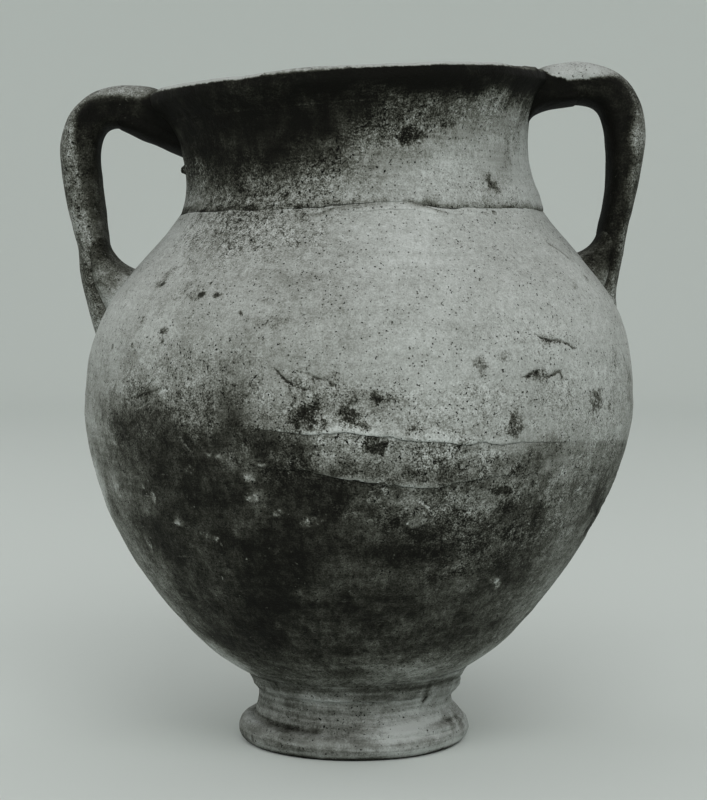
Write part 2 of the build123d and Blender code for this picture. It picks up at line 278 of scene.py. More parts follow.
def arc_through(first, middle, last):
    """Points on the circle arc through three points."""
    (ax, ay), (bx, by), (cx, cy) = first, middle, last
    cross = 2 * (ax * (by - cy) + bx * (cy - ay) + cx * (ay - by))
    squares = [ax * ax + ay * ay, bx * bx + by * by, cx * cx + cy * cy]
    ux = (squares[0] * (by - cy) + squares[1] * (cy - ay) + squares[2] * (ay - by)) / cross
    uy = (squares[0] * (cx - bx) + squares[1] * (ax - cx) + squares[2] * (bx - ax)) / cross
    turns = np.unwrap([math.atan2(y - uy, x - ux) for x, y in (first, middle, last)])
    sweep = np.linspace(turns[0], turns[2], ARC_POINTS)
    radius = math.hypot(ax - ux, ay - uy)
    return np.stack([ux + radius * np.cos(sweep), uy + radius * np.sin(sweep)], axis=1)


# Profiles of the body, by height

def body_profile(inset, seat, joint_radius):
    """Radius and height along the wall from its seat up to the neck's joint."""
    belly = BELLY_RADIUS - inset
    seat_pull = (seat[0] + SEAT_TANGENT * math.cos(SEAT_RISE), seat[1] + SEAT_TANGENT * math.sin(SEAT_RISE))
    joint_pull = (
        joint_radius + SHOULDER_TANGENT * math.cos(SHOULDER_FALL),
        JOINT_HEIGHT - SHOULDER_TANGENT * math.sin(SHOULDER_FALL),
    )
    below, above = (belly, BELLY_HEIGHT - BELLY_TANGENT_DOWN), (belly, BELLY_HEIGHT + BELLY_TANGENT_UP)
    lower = bezier((seat, seat_pull, below, (belly, BELLY_HEIGHT)))
    upper = bezier(((belly, BELLY_HEIGHT), above, joint_pull, (joint_radius, JOINT_HEIGHT)))
    return np.vstack([lower, upper[1:]])


SEAT_INNER_RADIUS = SEAT_RADIUS - WALL * math.sin(SEAT_RISE)
JOINT_INNER_RADIUS = JOINT_RADIUS - WALL / math.sin(SHOULDER_FALL)
OUTSIDE = body_profile(0.0, (SEAT_RADIUS, SEAT_HEIGHT), JOINT_RADIUS)
INSIDE = body_profile(WALL, (SEAT_INNER_RADIUS, FLOOR_HEIGHT), JOINT_INNER_RADIUS)
OUTSIDE_RUN = line_run(OUTSIDE)


def outside_radius(height):
    """The wall's outer radius at a height."""
    return np.interp(height, OUTSIDE[:, 1], OUTSIDE[:, 0])


def inside_radius(height):
    """The wall's inner radius at a height."""
    return np.interp(height, INSIDE[:, 1], INSIDE[:, 0])


# Columns round the jar, and the lines that wander round it
ANGLE = np.linspace(-180.0, 180.0, COLUMNS, endpoint=False)
RIGHT = np.sin(np.radians(ANGLE))
AWAY = -np.cos(np.radians(ANGLE))
BELT = BELLY_RADIUS * np.stack([RIGHT, AWAY, 0.0 * ANGLE], axis=-1)
SEAT_LINE = np.full(COLUMNS, SEAT_HEIGHT)
UPPER_EDGE = around(ANGLE, UPPER_SEAM) + 1.3 * clouds(BELT, 17.0, 21)
LOWER_EDGE = around(ANGLE, LOWER_SEAM) + 1.3 * clouds(BELT, 15.0, 24)
JOINT_WAVER = 1.1 * clouds(BELT, 46.0, 27) + 0.4 * noise(BELT, 12.0, 29)
JOINT_LINE = JOINT_HEIGHT + around(ANGLE, JOINT_RISE) + JOINT_WAVER
TRIM = around(ANGLE, SHOULDER_TRIM)


def upright(radius, height):
    """Places rows of radius and height round the jar's axis, with the jar's sway."""
    radius, height = np.broadcast_arrays(radius, height)
    return np.stack([radius * RIGHT + along(height, SWAY), radius * AWAY, height], axis=-1)


def leaning(radius, height):
    """Places rows of radius and height round the neck's leaning axis."""
    radius, height = np.broadcast_arrays(radius, height)
    x = radius * RIGHT * math.cos(LEAN) - height * math.sin(LEAN)
    z = JOINT_HEIGHT + height * math.cos(LEAN) + radius * RIGHT * math.sin(LEAN)
    return np.stack([x + along(z, SWAY), radius * AWAY, z], axis=-1)


def rows_between(length, spacing):
    """Shares from 0 to 1 for rows along a face, closer together at both edges."""
    edge = np.array(EDGE_ROWS) / length
    count = max(2, int(round((length - 2 * EDGE_ROWS[-1]) / spacing)))
    middle = np.linspace(edge[-1], 1.0 - edge[-1], count + 1)
    return np.concatenate([edge[:-1], middle, 1.0 - edge[:-1][::-1]])[:, None]


def shell_rows(outer, inner):
    """Closes the outer and inner rows of a wall into one loop, with rows across its top and foot."""
    top = outer[-1] + (inner[0] - outer[-1]) * CROSS_SHARES
    foot = inner[-1] + (outer[0] - inner[-1]) * CROSS_SHARES
    return np.vstack([outer, top, inner, foot])


def all_round(stretches):
    """Radius and height rows of a closed section that is the same all round, given in stretches."""
    section = np.vstack(stretches)
    return section[:, :1] + 0.0 * ANGLE, section[:, 1:] + 0.0 * ANGLE


def face_angle(points):
    """The angle round the jar of each point."""
    return np.degrees(np.arctan2(points[..., 0], -points[..., 1]))


# Materials

# Outputs of nodes that have several
OBJECT_SPACE = 3
ATTRIBUTE_VALUE = 2
VECTOR_LENGTH = 1

# Paint on each mesh; the first is how dark the clay is painted: staining, and in places painted shade and
# shadow
PAINT = {"stain_and_shade": 0.0, "wear": 0.0, "line": 60.0, "line_on": 0.0, "speck": 0.45, "blot": 0.0}
UNTURNED = (0.0, 0.0, 0.0)
UNSTRETCHED = (1.0, 1.0, 1.0)

# Noise textures in the jar's own space: features per metre, detail, roughness, stretch, turn
GRAINS = {
    "specks": (820.0, 2.0, 0.6, UNSTRETCHED, UNTURNED),
    "clumps": (230.0, 3.0, 0.65, UNSTRETCHED, UNTURNED),
    "patches": (58.0, 4.0, 0.6, UNSTRETCHED, UNTURNED),
    "drifts": (18.0, 3.0, 0.55, UNSTRETCHED, UNTURNED),
    "turned": (130.0, 3.0, 0.6, (0.10, 0.10, 2.0), UNTURNED),
    "holes": (470.0, 1.0, 0.5, UNSTRETCHED, (0.4, 0.9, 0.2)),
    "flecks": (260.0, 2.0, 0.5, UNSTRETCHED, (0.6, 0.3, 0.0)),
    "scratches": (190.0, 2.0, 0.5, (0.16, 0.16, 1.5), (0.0, 0.6, 0.0)),
}
PIT_CELLS = 330.0
SHADE_STEPS = 5
SHADE_CURVE = 1.6
BUMP_STRENGTH = 0.65
BUMP_DISTANCE = 0.0012
SPECULAR = 0.12
ROUGHNESS = 0.85


class Tone:
    """A node's output, with the sums and steps that a material is written in."""

    def __init__(self, tree, socket):
        self.tree = tree
        self.socket = socket

    def calc(self, operation, other=0.0, clamp=False):
        """A math node on this value and another."""
        return put(self.tree, "ShaderNodeMath", {0: self, 1: other}, operation=operation, use_clamp=clamp)

    def __add__(self, other):
        return self.calc("ADD", other)

    def __sub__(self, other):
        return self.calc("SUBTRACT", other)

    def __mul__(self, other):
        return self.calc("MULTIPLY", other)

    def step(self, start, end, before=0.0, after=1.0):
        """An S-shaped step from one value to another."""
        inputs = {"Value": self, "From Min": start, "From Max": end, "To Min": before, "To Max": after}
        return put(self.tree, "ShaderNodeMapRange", inputs, interpolation_type="SMOOTHSTEP")


def put(tree, kind, inputs=None, output=0, **settings):
    """Adds a node, sets or links its inputs, and gives one of its outputs."""
    node = tree.nodes.new(kind)
    for key, value in settings.items():
        setattr(node, key, value)
    for key, value in (inputs or {}).items():
        if isinstance(value, Tone):
            tree.links.new(value.socket, node.inputs[key])
        else:
            node.inputs[key].default_value = value
    return Tone(tree, node.outputs[output])


def grain(tree, place, scale, detail, roughness, stretch, turn):
    """A noise texture."""
    moved = put(tree, "ShaderNodeMapping", {"Vector": place, "Scale": stretch, "Rotation": turn})
    inputs = {"Vector": moved, "Scale": scale, "Detail": detail, "Roughness": roughness}
    return put(tree, "ShaderNodeTexNoise", inputs)


def grey(value, warm=0.0):
    """A near-grey colour from a display value of 0 to 255: greenish, and browner by warm."""
    shares = (value, value + 4 - 4 * warm, value + 1 - 4.5 * warm)
    return tuple((max(0.0, share) / 255.0) ** 2.2 for share in shares) + (1.0,)


def shades(tree, value, pale, dark):
    """Colours from pale at 0 to dark at 1, in steps that look even."""
    colour = put(tree, "ShaderNodeValToRGB", {0: value})
    elements = colour.socket.node.color_ramp.elements
    for step in range(SHADE_STEPS + 1):
        share = step / SHADE_STEPS
        if 0 < step < SHADE_STEPS:
            element = elements.new(share ** (1 / SHADE_CURVE))
        else:
            element = elements[0 if step == 0 else -1]
        element.color = [p ** (1 - share) * d ** share for p, d in zip(pale, dark)]
    return colour


def clay(name, pale, dark, sheen, streaks=0.22, dotted=0.40, chipped=0.48):
    """Pale fired clay under dark staining and painted shade, which break up into grain where they thin out.
    """
    material = bpy.data.materials.new(name)
    material.use_nodes = True
    tree = material.node_tree
    tree.nodes.clear()
    place = put(tree, "ShaderNodeTexCoord", output=OBJECT_SPACE)
    stain_and_shade, wear, line, line_on, speck, blot = (
        put(tree, "ShaderNodeAttribute", output=ATTRIBUTE_VALUE, attribute_name=key) for key in PAINT
    )
    specks, clumps, patches, drifts, turned, holes, flecks, scratches = (
        grain(tree, place, *facts) for facts in GRAINS.values()
    )

    # The painted darkness, staining and in places painted shade, mottled where it is speckled, with ragged
    # blots
    broad = (patches + drifts * 0.7 - 0.85) * (stain_and_shade * 0.85)
    mottle = (specks * 1.25 + clumps * 0.9 - 1.075) * speck + (turned - 0.5) * streaks
    torn = (clumps * 1.4 + specks * 0.9 + blot * 1.3 - 1.15).step(0.15, 0.95) * blot.step(0.0, 0.12)
    depth = stain_and_shade + mottle + broad + blot * 0.22 + torn * 0.34

    # Pits of two kinds: small holes, and dots of many sizes in some of the cells
    pits = (holes + speck * 0.06 + stain_and_shade * 0.06 - 0.745).step(-0.01, 0.05)
    cells = put(tree, "ShaderNodeTexVoronoi", {"Vector": place, "Scale": PIT_CELLS})
    cell_colour = Tone(tree, cells.socket.node.outputs["Color"])
    chance = put(tree, "ShaderNodeSeparateColor", {0: cell_colour})
    wide = chance.step(0.10, 0.95) * 0.20 - 0.05 + patches.step(0.36, 0.62, -0.03, 0.09)
    dots = (cells - wide + specks * 0.30).step(0.10, 0.20, 1.0, 0.0)
    depth = depth + pits * 0.75 + dots * dotted

    # Worn places, pale chips in the stain, and cracks
    rubbed = (clumps * 1.1 + specks * 0.7 + wear - 1.5).step(-0.25, 0.3)
    chips = flecks.step(0.68, 0.73).calc("MAXIMUM", scratches.step(0.67, 0.74) * 0.6)
    chips = chips * stain_and_shade.calc("MULTIPLY", chipped, clamp=True) * patches.step(0.46, 0.60)
    cut = (line + clumps * 5.0 + specks * 2.4 - 3.7).calc("ABSOLUTE").step(0.2, 1.6, 1.0, 0.0)
    cut = cut * line_on * patches.step(0.36, 0.56)
    depth = depth * (rubbed * -0.85 + 1.0) - chips + cut * 0.5

    height = pits.calc("MAXIMUM", dots) * -0.8 + clumps * 0.8 + specks * 0.6 + turned * 0.3
    height = height - cut.calc("ABSOLUTE") * 1.2
    bumps = {"Height": height, "Strength": BUMP_STRENGTH, "Distance": BUMP_DISTANCE}
    shader = put(tree, "ShaderNodeBsdfPrincipled", {
        "Base Color": shades(tree, depth, pale, dark),
        "Roughness": depth.step(0.4, 1.0) * -sheen + clumps * 0.14 + ROUGHNESS,
        "Normal": put(tree, "ShaderNodeBump", bumps),
        "Specular IOR Level": SPECULAR,
    })
    target = tree.nodes.new("ShaderNodeOutputMaterial")
    tree.links.new(shader.socket, target.inputs["Surface"])
    return material


PALE = grey(197)
DARK = grey(23, 1.0)
MATERIALS = {
    "shoulder_clay": clay("shoulder_clay", PALE, DARK, 0.10, streaks=0.12),
    "neck_clay": clay("neck_clay", grey(188), grey(20, 1.0), 0.12, chipped=0.14),
    "lower_clay": clay("lower_clay", PALE, DARK, 0.16),
    "foot_clay": clay("foot_clay", grey(180), grey(28, 1.0), 0.10, streaks=0.62, dotted=0.14),
    "handle_clay": clay("handle_clay", grey(180), grey(19, 1.0), 0.14),
}


# Meshes

def grid_normals(points, capped):
    """Normals of a grid that closes round its columns, and round its rows unless it is capped."""
    if capped:
        down = np.gradient(points, axis=0)
    else:
        down = np.roll(points, -1, axis=0) - np.roll(points, 1, axis=0)
    across = np.roll(points, -1, axis=1) - np.roll(points, 1, axis=1)
    normal = np.cross(across, down)
    return normal / np.maximum(np.linalg.norm(normal, axis=-1, keepdims=True), 1e-9)


def pushed(points, push, edges=(), capped=False):
    """Moves a grid along its normals. An edge, given with the row beside it, goes the way of that row."""
    normals = grid_normals(points, capped)
    for edge, beside in edges:
        normals[edge] = normals[beside]
    return points + push[..., None] * normals


def face_edges(rows):
    """The first and last of some rows, each with the row beside it."""
    return ((0, 1), (rows - 1, rows - 2))


def grid_faces(rows, columns, capped):
    """Quads of a grid, in the order that makes its normals point out, and fans over capped ends."""
    index = np.arange(rows * columns).reshape(rows, columns)
    nearer = index[:-1] if capped else index
    further = index[1:] if capped else np.roll(index, -1, axis=0)
    corners = [nearer, np.roll(nearer, -1, axis=1), np.roll(further, -1, axis=1), further]
    faces = np.stack(corners, axis=-1).reshape(-1, 4).tolist()
    if capped:
        start = rows * columns
        first = np.stack([np.full(columns, start), np.roll(index[0], -1), index[0]], axis=-1)
        last = np.stack([np.full(columns, start + 1), index[-1], np.roll(index[-1], -1)], axis=-1)
        faces += first.tolist() + last.tolist()
    return faces


def make_piece(node, slot, points, paint, capped=False, sharp_rows=()):
    """Makes the closed mesh that stands for a CAD node: paint as attributes, and some rows shaded sharp."""
    rows, columns = points.shape[:2]
    vertices = points.reshape(-1, 3)
    if capped:
        vertices = np.vstack([vertices, points[0].mean(0), points[-1].mean(0)])
    mesh = bpy.data.meshes.new(node + "_clay")
    mesh.from_pydata((vertices * MM).tolist(), [], grid_faces(rows, columns, capped))
    for key, values in paint.items():
        flat = np.broadcast_to(values, (rows, columns)).reshape(-1)
        if capped:
            flat = np.concatenate([flat, [values[0].mean(), values[-1].mean()]])
        mesh.attributes.new(key, "FLOAT", "POINT").data.foreach_set("value", flat.astype(np.float32))
    mesh.polygons.foreach_set("use_smooth", np.ones(len(mesh.polygons), bool))
    ends = np.zeros(2 * len(mesh.edges), np.int32)
    mesh.edges.foreach_get("vertices", ends)
    edge_rows = ends.reshape(-1, 2) // columns
    sharp = (edge_rows[:, 0] == edge_rows[:, 1]) & np.isin(edge_rows[:, 0], sharp_rows)
    mesh.attributes.new("sharp_edge", "BOOLEAN", "EDGE").data.foreach_set("value", sharp)
    mesh.materials.append(MATERIALS[slot])
    mesh.update()
    piece = bpy.data.objects.new(node + "_dressed", mesh)
    bpy.context.scene.collection.objects.link(piece)
    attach(piece, "root")
    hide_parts(node)


# Relief of the clay

LUMPS = ((1.1, 120.0, 1), (0.6, 47.0, 2), (0.30, 21.0, 3), (0.16, 9.5, 4))
TURNING = ((0.15, 7.0, 5), (0.20, 15.0, 6))
TURNING_STRETCH = np.array([0.1, 0.1, 1.0])
FLAKE_DEPTH = 0.45
PIT_DEPTH = 0.5
INNER_SEED = 9

# A line counts fully up to the second of these distances, and not at all beyond the first
LINE_REACH = (5.0, 3.0)


def clay_relief(points, seed=0):
    """Unevenness of hand-built clay, in millimetres along the normal."""
    return layers(points, LUMPS, seed) + layers(points * TURNING_STRETCH, TURNING, seed)


def scars(points, seed=0):
    """Shallow flakes and pits, in millimetres below the surface."""
    zones = smooth(-0.1, 0.4, noise(points, 70.0, 33 + seed))
    flakes = smooth(0.42, 0.62, noise(points, 17.0, 31 + seed)) * zones
    return FLAKE_DEPTH * flakes + PIT_DEPTH * smooth(0.55, 0.8, noise(points, 6.5, 34 + seed))


def cut_lines(angle, height, lines):
    """Signed distance from the nearest of some lines, how much it counts, and the plain distance."""
    best = np.full(angle.shape, PAINT["line"])
    sign = np.ones(angle.shape)
    strength = np.zeros(angle.shape)
    for weight, points in lines:
        for (a0, h0), (a1, h1) in zip(points[:-1], points[1:]):
            scale = math.radians(1.0) * float(outside_radius((h0 + h1) / 2))
            px, py = (angle - a0) * scale, height - h0
            dx, dy = (a1 - a0) * scale, h1 - h0
            share = np.clip((px * dx + py * dy) / math.hypot(dx, dy) ** 2, 0.0, 1.0)
            gap = np.hypot(px - share * dx, py - share * dy)
            nearer = gap < best
            best = np.where(nearer, gap, best)
            sign = np.where(nearer, np.sign(dx * py - dy * px), sign)
            strength = np.where(nearer, weight, strength)
    return best * sign, strength * smooth(*LINE_REACH, best), best


# Marks on the body and neck

# Cracks and scratches: strength, dark above 0 and pale below, then the angles and heights that each passes
CRACKS = (
    (0.8, ((38.0, 331.5), (41.0, 328.0), (44.0, 327.5), (47.5, 322.5))),
    (0.7, ((33.5, 303.0), (36.5, 306.5))),
    (0.7, ((38.5, 301.5), (42.5, 306.0), (43.5, 298.0))),
    (0.8, ((-15.5, 309.0), (-13.5, 302.0), (-11.0, 297.5), (-9.8, 296.0))),
    (0.6, ((-9.5, 306.5), (-7.0, 303.0), (-4.5, 299.5))),
    (0.5, ((69.0, 318.0), (72.0, 305.0), (73.5, 296.0))),
    (0.4, ((74.5, 300.0), (77.0, 285.0))),
    (0.7, ((18.5, 210.5), (22.5, 206.0), (28.5, 203.5))),
    (0.5, ((-50.0, 284.0), (-46.0, 288.0), (-41.5, 292.5))),
    (0.8, ((19.5, 256.0), (18.5, 248.0), (19.5, 241.0))),
    (-0.7, ((-47.0, 278.0), (-43.4, 286.0), (-39.4, 292.5))),
    (-0.6, ((-43.4, 275.9), (-41.2, 283.6))),
    (-0.8, ((10.6, 219.3), (14.1, 210.7))),
    (-0.5, ((-35.7, 257.1), (-33.6, 248.8))),
    (0.4, ((60.0, 398.0), (64.0, 392.0), (66.0, 386.0))),
    (0.4, ((128.0, 330.0), (136.0, 322.0), (141.0, 306.0), (150.0, 300.0))),
    (0.4, ((-150.0, 315.0), (-143.0, 305.0), (-139.0, 290.0))),
)
CRACK_DEPTH = 0.7
CRACK_WIDTH = 1.6

# Ragged dark blots
BLOTS = (
    (-9.9, 275, 10, 11, 0.62), (-6.4, 271, 6, 6, 0.45), (-1.6, 278, 8, 8, 0.64), (1.4, 270, 7, 4, 0.32),
    (3.4, 291, 4, 5, 0.62), (5.8, 293, 9, 9, 0.18), (3.6, 257, 8, 9, 0.58), (9.5, 269, 7, 4, 0.36),
    (15, 246, 18, 9, 0.07), (31, 269, 7, 11, 0.48), (28, 240, 20, 9, 0.12), (53.5, 283, 9, 10, 0.44),
    (60, 275, 7, 7, 0.30), (24, 313, 9, 5, 0.36), (29, 317, 7, 4, 0.34), (36, 304, 12, 5, 0.46),
    (24, 306, 4, 5, 0.34), (40, 329, 10, 4, 0.30), (30, 220, 8, 3.5, 0.60), (-35.3, 361, 3, 2, 0.80),
    (-31.3, 361, 3, 2, 1.0), (-51, 371, 6, 8, 0.34), (-40, 362, 16, 9, 0.18), (-18, 343, 18, 5, 0.20),
    (66, 372, 5, 3, 0.38), (57, 368, 6, 5, 0.28), (17, 477, 10, 8, 0.50), (28, 486, 8, 4, 0.38),
    (46.5, 441, 9, 6, 0.56), (44, 447, 6, 5, 0.34), (57, 466, 6, 16, 0.24), (64, 480, 8, 12, 0.24),
    (64, 312, 5, 8, 0.34), (72, 180, 12, 16, 0.34), (-36, 416, 70, 26, 0.22), (-8, 296, 30, 16, 0.20),
    (-32, 296, 50, 22, 0.10), (10, 240, 90, 20, 0.10), (-14, 440, 50, 16, 0.12), (98, 304, 16, 8, 0.34),
    (103, 296, 8, 12, 0.30), (118, 355, 15, 6, 0.36), (137, 294, 34, 9, 0.26), (143, 283, 18, 12, 0.34),
    (165, 330, 7, 9, 0.42), (168, 322, 12, 4, 0.30), (-112, 314, 26, 10, 0.30), (-105, 302, 12, 16, 0.34),
    (-135, 350, 8, 10, 0.40), (-130, 346, 13, 4, 0.30), (-160, 300, 30, 9, 0.28),
    (-152, 306, 10, 14, 0.34), (-100, 380, 8, 4, 0.40), (-49.7, 368, 2.6, 2.2, 0.6),
    (-42.7, 334, 3.6, 2.4, 0.6), (-60.5, 321, 2.4, 3, 0.5), (-42.3, 327, 2.2, 3.4, 0.5),
    (-51.9, 322, 2.4, 2.4, 0.4), (-51, 342, 3, 3.4, 0.4), (-24.4, 349, 2.6, 1.8, 0.45),
    (-34.3, 369, 2.6, 1.6, 0.6), (-19.3, 358, 2.6, 1.4, 0.5), (175, 402, 60, 20, 0.20),
    (-120, 290, 60, 30, 0.22), (130, 275, 70, 24, 0.22), (6, 199, 9, 8, 0.32), (8.5, 206, 6, 8, 0.26),
    (15.4, 174, 11, 6, 0.36), (35.6, 185, 15, 8, 0.34), (31.4, 210, 10, 6, 0.28), (25.6, 161, 15, 5, 0.26),
    (-4, 214, 8, 5, 0.22), (20, 186, 26, 14, 0.10),
)

# Spots where the dark stain flaked off
FLAKES = (
    (-41, 195, 4, 4, 0.65), (-49.1, 219, 3, 4, 0.63), (-46.4, 212, 3, 7, 0.63), (-32.9, 185, 10, 8, 0.58),
    (-18.6, 242, 8, 3, 0.62), (-21.6, 232, 9, 6, 0.57), (-21.5, 218, 8, 5, 0.54), (-16.3, 206, 7, 6, 0.57),
    (-9.6, 201, 11, 6, 0.56), (-35.3, 235, 9, 6, 0.55), (-61, 216, 8, 14, 0.56), (37, 146, 4, 7, 0.62),
    (34.5, 150, 6, 4, 0.58), (-55, 172, 6, 12, 0.55), (-29, 247, 12, 5, 0.56), (12, 200, 13, 5, 0.53),
    (110, 215, 8, 7, 0.62), (128, 188, 10, 7, 0.58), (165, 205, 8, 10, 0.60), (-170, 180, 12, 8, 0.58),
    (-125, 205, 7, 8, 0.62), (-108, 178, 9, 6, 0.58),
)

# Soft marks, darker above 0 and paler below
SHADINGS = (
    (-36, 424, 66, 15, 0.10), (-40, 402, 30, 20, 0.08), (4, 130, 36, 16, 0.19), (36, 152, 34, 22, 0.10),
    (-60, 273, 26, 13, 0.15), (-45, 276, 40, 12, 0.08), (33, 241, 30, 9, 0.09), (20, 78, 20, 7, -0.16),
    (26, 70, 14, 5, -0.12), (-48, 205, 12, 8, -0.18), (-40, 196, 6, 4, -0.30), (-6, 246, 12, 8, -0.20),
    (-14, 250, 12, 10, -0.16), (-20, 214, 8, 8, -0.16), (-11, 205, 9, 7, -0.14), (-62, 218, 16, 26, -0.13),
    (47, 200, 22, 34, -0.16), (-44, 322, 24, 30, -0.15), (-46, 293, 12, 11, 0.12), (16, 246, 20, 9, -0.10),
    (39, 212, 16, 16, -0.13), (-75, 210, 22, 24, -0.24), (-60, 72, 22, 14, -0.16), (-45, 74, 16, 12, -0.08),
    (60, 112, 24, 20, -0.08), (48, 172, 14, 9, 0.02), (33, 178, 16, 9, 0.06), (-22, 244, 30, 12, -0.10),
    (0, 287, 30, 8, 0.10), (-28, 287, 20, 10, 0.06), (38, 246, 26, 13, 0.16), (0, 84, 26, 9, -0.12),
    (45, 66, 18, 8, 0.08), (75, 285, 16, 16, 0.10), (15, 214, 48, 14, -0.27), (2, 198, 30, 14, -0.16),
    (56, 345, 34, 90, -0.04), (2, 400, 40, 24, -0.05), (150, 180, 26, 18, -0.25), (-140, 160, 30, 22, -0.25),
    (100, 210, 24, 20, -0.20), (-95, 140, 26, 30, -0.22),
)

# Speckled zones, and the height below which all of the body is a little more speckled, round the jar
SPECKLED = (
    (-35, 408, 66, 26, 0.70), (-12, 424, 40, 8, 0.30), (5, 275, 100, 26, 0.55), (55, 285, 70, 34, 0.40),
    (-35, 300, 70, 28, 0.32), (-45, 272, 80, 26, 0.36), (5, 245, 110, 20, 0.70), (60, 220, 60, 40, 0.40),
    (40, 330, 40, 14, 0.25), (30, 195, 80, 40, 0.55), (10, 215, 60, 16, 0.30), (100, 300, 80, 40, 0.40),
    (180, 380, 90, 40, 0.40), (-110, 330, 70, 40, 0.40), (150, 280, 70, 30, 0.35),
)
SPECK_TOP = (
    (-180, 250), (-110, 262), (-60, 275), (-30, 270), (-14, 255), (-5, 232), (15, 218), (30, 205), (50, 190),
    (75, 180), (110, 220), (150, 245),
)

# Height where the dark on the lower body begins and how dense it gets, round the body: staining, and painted
# shade on the underside that faces away from the light
STAIN_AND_SHADE_TOP = (
    (-180, 268), (-140, 292), (-110, 276), (-75, 284), (-60, 289), (-45, 296), (-30, 297), (-20, 290),
    (-14, 280), (-7, 262), (0, 252), (12, 248), (25, 250), (45, 250), (65, 246), (85, 256), (115, 286),
    (150, 264),
)
STAIN_AND_SHADE_DEPTH = (
    (-180, 0.46), (-120, 0.36), (-95, 0.15), (-75, 0.12), (-62, 0.24), (-48, 0.40), (-30, 0.49), (-5, 0.48),
    (15, 0.45), (30, 0.43), (45, 0.33), (58, 0.20), (72, 0.20), (95, 0.24), (120, 0.36), (150, 0.46),
)

# Height where the neck is about half dark, round the jar: staining, and painted shadow under the rim
NECK_DARK = (
    (-180, 458), (-120, 452), (-85, 448), (-75, 450), (-60, 434), (-45, 444), (-30, 440), (-15, 431),
    (0, 464), (15, 480), (30, 503), (45, 506), (60, 506), (85, 494), (110, 472), (150, 466),
)
RAGGED_EDGE = ((0.30, 11.0, 53), (0.28, 4.8, 54))
BARE_STAIN = 0.17

# Windows of the angle: the plain front of the seams, the left of the body and three zones of the neck
SEAM_FRONT = ((-24.0, -8.0), (70.0, 95.0))
BODY_LEFT = ((-70.0, -35.0), (-14.0, 14.0))
NECK_RIGHT = ((-30.0, 20.0), (100.0, 150.0))
NECK_LEFT = ((-130.0, -70.0), (-45.0, -5.0))
NECK_PALE = ((50.0, 75.0), (95.0, 125.0))

# Window of the neck's painted darkness, staining and shadow, where it is most speckled
HALF_DARK = ((0.28, 0.45), (0.7, 0.9))


def spread(points, marks, reach=outside_radius):
    """Sum of ragged marks, each an ellipse on a wall with that reach from the axis at its height."""
    angle = face_angle(points)
    ragged = layers(points, RAGGED_EDGE)
    total = np.zeros(angle.shape)
    for mark_angle, mark_height, across, up, amount in marks:
        turn = (angle - mark_angle + 180.0) % 360.0 - 180.0
        arc = np.radians(turn) * reach(mark_height)
        away = np.hypot(arc / across, (points[..., 2] - mark_height) / up) + ragged
        total += amount * smooth(1.35, 0.45, away)
    return total


def body_stain_and_shade(points):
    """How dark the outside of the body is painted: dark staining, with painted shade on the underside of the
    lower body.
    """
    angle = face_angle(points) + 2.0 * noise(points, 26.0, 51)
    height = points[..., 2] + 4.0 * noise(points, 26.0, 52)
    seam_top = around(angle, UPPER_SEAM)
    seam_low = around(angle, LOWER_SEAM)
    # Dark below this line: staining, and partly painted shade on the underside
    below = around(angle, STAIN_AND_SHADE_TOP) - height + 9.0 * clouds(points, 38.0, 55)
    stain_and_shade = around(angle, STAIN_AND_SHADE_DEPTH) * smooth(-6.0, 52.0, below)
    front = within(angle, SEAM_FRONT)
    under_top = smooth(0.5, -0.5, points[..., 2] - seam_top) * smooth(-70.0, 0.0, height - seam_low)
    under_low = smooth(0.5, -0.5, points[..., 2] - seam_low) * smooth(-24.0, 0.0, height - seam_low)
    stain_and_shade += 0.09 * front * under_top + 0.12 * front * smooth(42.0, 20.0, angle) * under_low
    stain_and_shade += BARE_STAIN + 0.12 * smooth(70.0, -10.0, -below)
    stain_and_shade += 0.09 * within(angle, BODY_LEFT)
    stain_and_shade += spread(points, SHADINGS)
    stain_and_shade -= 0.28 * smooth(108.0, 62.0, height)
    blotchy = 0.35 + 0.65 * smooth(0.25, 0.6, stain_and_shade)
    return stain_and_shade + blotchy * (0.10 * clouds(points, 52.0, 57) + 0.05 * noise(points, 14.0, 58))


def body_specks(points):
    """How speckled the body is: most in its speckled zones, least on the smooth shoulder."""
    ledge = around(face_angle(points), SPECK_TOP) + 10.0 * noise(points, 40.0, 59)
    specks = 0.48 - 0.10 * smooth(-26.0, 12.0, points[..., 2] - ledge)
    return specks + spread(points, SPECKLED) * (0.8 + 0.5 * clouds(points, 24.0, 67))


def neck_stain_and_shadow(points):
    """How dark the outside of the neck is painted: staining, and painted shadow under the rim, which also
    darkens the rim's underside.
    """
    angle = face_angle(points) + 3.0 * noise(points, 30.0, 61)
    height = points[..., 2] + 9.0 * clouds(points, 34.0, 62)
    stain_and_shade = BARE_STAIN + 0.80 * smooth(-45.0, 60.0, height - around(angle, NECK_DARK))
    # Painted shadow close under the rim at the front and right
    stain_and_shade += 0.45 * smooth(500.0, 518.0, height) * within(angle, NECK_RIGHT)
    stain_and_shade += 0.06 * within(angle, NECK_LEFT)
    stain_and_shade -= 0.10 * within(angle, NECK_PALE) * smooth(500.0, 480.0, height)
    return stain_and_shade + 0.05 * clouds(points, 30.0, 63) + 0.03 * noise(points, 12.0, 64)


def inner_stain(points, level):
    """Stain of the inside, which only the mouth and the foot's hollow show."""
    return level + 0.16 * clouds(points, 48.0, 71) + 0.08 * noise(points, 15.0, 72)


def painted(points, stain_and_shade, **others):
    """Paint for a surface: how dark it is painted, staining and in places painted shade, and what else isn't
    as on plain clay.
    """
    paint = {key: np.full(points.shape[:-1], value) for key, value in PAINT.items()}
    for key, value in dict(others, stain_and_shade=stain_and_shade).items():
        paint[key][:] = value
    return paint


# Body wall

SEAM_STEP = 1.2
SEAM_BEVEL = math.tan(math.radians(32.0))
SEAM_ROUND = 0.75
SEAM_REACH = 0.6
SET_BACK_RISE = 120.0
LIP_RISE = 5.0
LIP_PALE_WIDTH = 6.0

